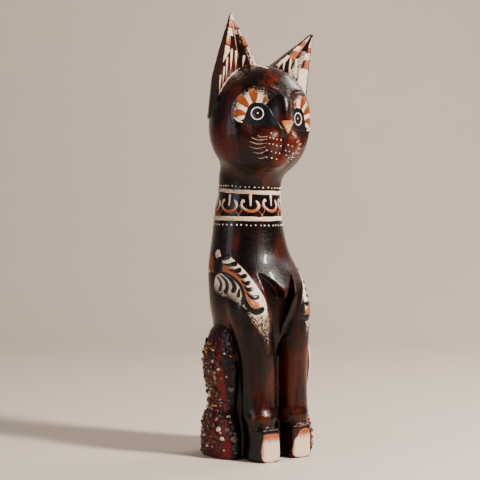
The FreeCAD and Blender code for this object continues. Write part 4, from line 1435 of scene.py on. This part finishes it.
def dress(piece, node, material):
    """Gives a finished piece its material, parents it to the root body and hides its CAD node in its place.
    """
    piece.data.materials.clear()
    piece.data.materials.append(material)
    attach(piece, "root")
    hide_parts(node)


FACE_LAYERS = ["brow_fan", "brow_petals", "eye_patch", "eye_ring", "eye_glint", "muzzle_dots", "whiskers",
               "ear_paint", "ear_strokes"]
SHOULDER_LAYERS = ["shoulder_plume", "plume_spine", "plume_strokes", "toe_paint"]
# Slots of the pieces that aren't cream paint; the chips' slots have their own names
SLOTS = {
    "collar_upper_dots": "white_paint", "collar_lower_dots": "white_paint", "eye_ring": "white_paint",
    "eye_glint": "white_paint", "muzzle_dots": "white_paint", "collar_diamonds": "orange_paint",
    "brow_petals": "orange_paint", "plume_spine": "orange_paint", "eye_patch": "black_paint",
    "plume_strokes": "black_paint", "nose_tip": "peach_paint", "haunch_paste": "red_paste",
    "cream_chips": "cream_chips", "amber_chips": "amber_chips", "dark_chips": "dark_chips",
}


def painted_side(skin, side):
    """Every layer on one side of the cat."""
    dice = random.Random(SIDES[side] + 20)
    layers = {name: Layer(skin) for name in FACE_LAYERS + SHOULDER_LAYERS}
    face(layers, skin, side, dice)
    ear_paint(layers, side, dice)
    plume(layers, side)
    toe_paint(layers["toe_paint"], side)
    layers["haunch_paste"] = haunch_paste(skin, side)
    layers.update(chips(skin, side))
    if side == "left":
        leaf = layers["haunch_leaf"] = Layer(skin)
        leaf.stroke(haunch_chart(side), LEAF, (0.2, 0.9, 1.0, 0.9), (0.9, 1.0, 1.0, 0.7))
    return {side + "_" + name: layer for name, layer in layers.items()}


def build():
    vertices, quads = surface_net(*field_grid())
    vertices = settle(vertices)
    cat = mesh_object("carved_cat", vertices, quads)
    red = cat.data.attributes.new("red", "FLOAT", "POINT")
    red.data.foreach_set("value", redness(vertices).astype(np.float32))
    dress(cat, "carved_block", lacquered_wood())
    skin = Skin(vertices, quads)
    materials = make_materials()
    layers = collar(skin)
    layers["nose_tip"] = nose(skin)
    for side in SIDES:
        layers.update(painted_side(skin, side))
    for node, layer in layers.items():
        slot = SLOTS.get(node.removeprefix("left_").removeprefix("right_"), "cream_paint")
        piece = layer.piece("painted_" + node, smooth="chips" not in node)
        dress(piece, node, materials[slot])


build()

# ---------------------------------------------------------------- stage, lights and camera

CAMERA_LENS = 131.25
CAMERA_SENSOR = 36.0
AIM_SIDEWAYS = -17.0
AIM_HEIGHT = 195.4
# To the right of the view, towards it, height, size, power, colour
LIGHTS = {
    "key": (870, 510, 1040, (150, 400), 44.0, (1.0, 0.94, 0.86)),
    "fill": (-1100, 700, 500, (500, 900), 5.0, (0.86, 0.92, 1.0)),
    "back": (700, -700, 900, (400, 400), 9.0, (1.0, 0.93, 0.85)),
}
LIGHT_AIM = 200.0               # height that the lights point at
AMBIENT = (1.0, 0.92, 0.84, 1)
AMBIENT_STRENGTH = 0.22
FLOOR_COLOUR = (0.66, 0.55, 0.46, 1)
FLOOR_REACH = 2600.0            # how far the floor goes forwards and sideways, and the backdrop up
FLOOR_BACK = 900.0
BEND = 500.0                    # radius of the curve behind it
BEND_STEPS = 12


def look_at(obj, target):
    obj.rotation_euler = (target - obj.location).to_track_quat("-Z", "Y").to_euler()


def add_camera():
    right, towards = (Vector(v) for v in view_axes())
    camera = bpy.data.objects.new("camera", bpy.data.cameras.new("camera"))
    bpy.context.collection.objects.link(camera)
    camera.data.lens = CAMERA_LENS
    camera.data.sensor_width = CAMERA_SENSOR
    camera.data.clip_end = 50.0
    camera.location = (towards * VIEW_AWAY + Vector((0, 0, VIEW_HEIGHT))) * MM
    look_at(camera, (right * AIM_SIDEWAYS + Vector((0, 0, AIM_HEIGHT))) * MM)
    bpy.context.scene.camera = camera


def add_light(name, sideways, forward, height, size, power, colour):
    right, towards = (Vector(v) for v in view_axes())
    data = bpy.data.lights.new(name, "AREA")
    data.shape = "RECTANGLE"
    data.size, data.size_y = size[0] * MM, size[1] * MM
    data.energy = power
    data.color = colour
    light = bpy.data.objects.new(name, data)
    bpy.context.collection.objects.link(light)
    light.location = (right * sideways + towards * forward + Vector((0, 0, height))) * MM
    look_at(light, Vector((0, 0, LIGHT_AIM)) * MM)


def plain_material(name, colour, rough):
    nodes = Nodes(name)
    tone = nodes.noise(0.01, detail=2.0)
    shade = tuple(0.94 * c for c in colour[:3]) + (1,)
    return nodes.finish(Base_Color=nodes.mix(tone, colour, shade), Roughness=rough)


def add_stage():
    """A pale floor that curves up behind the figure."""
    right, towards = (Vector(v) for v in view_axes())
    profile = [(FLOOR_REACH, 0), (-FLOOR_BACK, 0)]
    for k in range(1, BEND_STEPS + 1):
        a = math.radians(90 * k / BEND_STEPS)
        profile.append((-FLOOR_BACK - BEND * math.sin(a), BEND * (1 - math.cos(a))))
    profile.append((-FLOOR_BACK - BEND, FLOOR_REACH))
    vertices = []
    for forward, height in profile:
        for side in (-1, 1):
            vertices.append(towards * forward + right * side * FLOOR_REACH + Vector((0, 0, height)))
    faces = [(2 * k, 2 * k + 1, 2 * k + 3, 2 * k + 2) for k in range(len(profile) - 1)]
    sweep = mesh_object("backdrop", [tuple(v) for v in vertices], faces)
    sweep.data.materials.append(plain_material("pale_floor", FLOOR_COLOUR, 0.6))


def add_world():
    world = bpy.data.worlds.new("studio")
    world.use_nodes = True
    background = world.node_tree.nodes["Background"]
    background.inputs["Color"].default_value = AMBIENT
    background.inputs["Strength"].default_value = AMBIENT_STRENGTH
    bpy.context.scene.world = world


add_stage()
add_world()
for light_name, light_setting in LIGHTS.items():
    add_light(light_name, *light_setting)
add_camera()
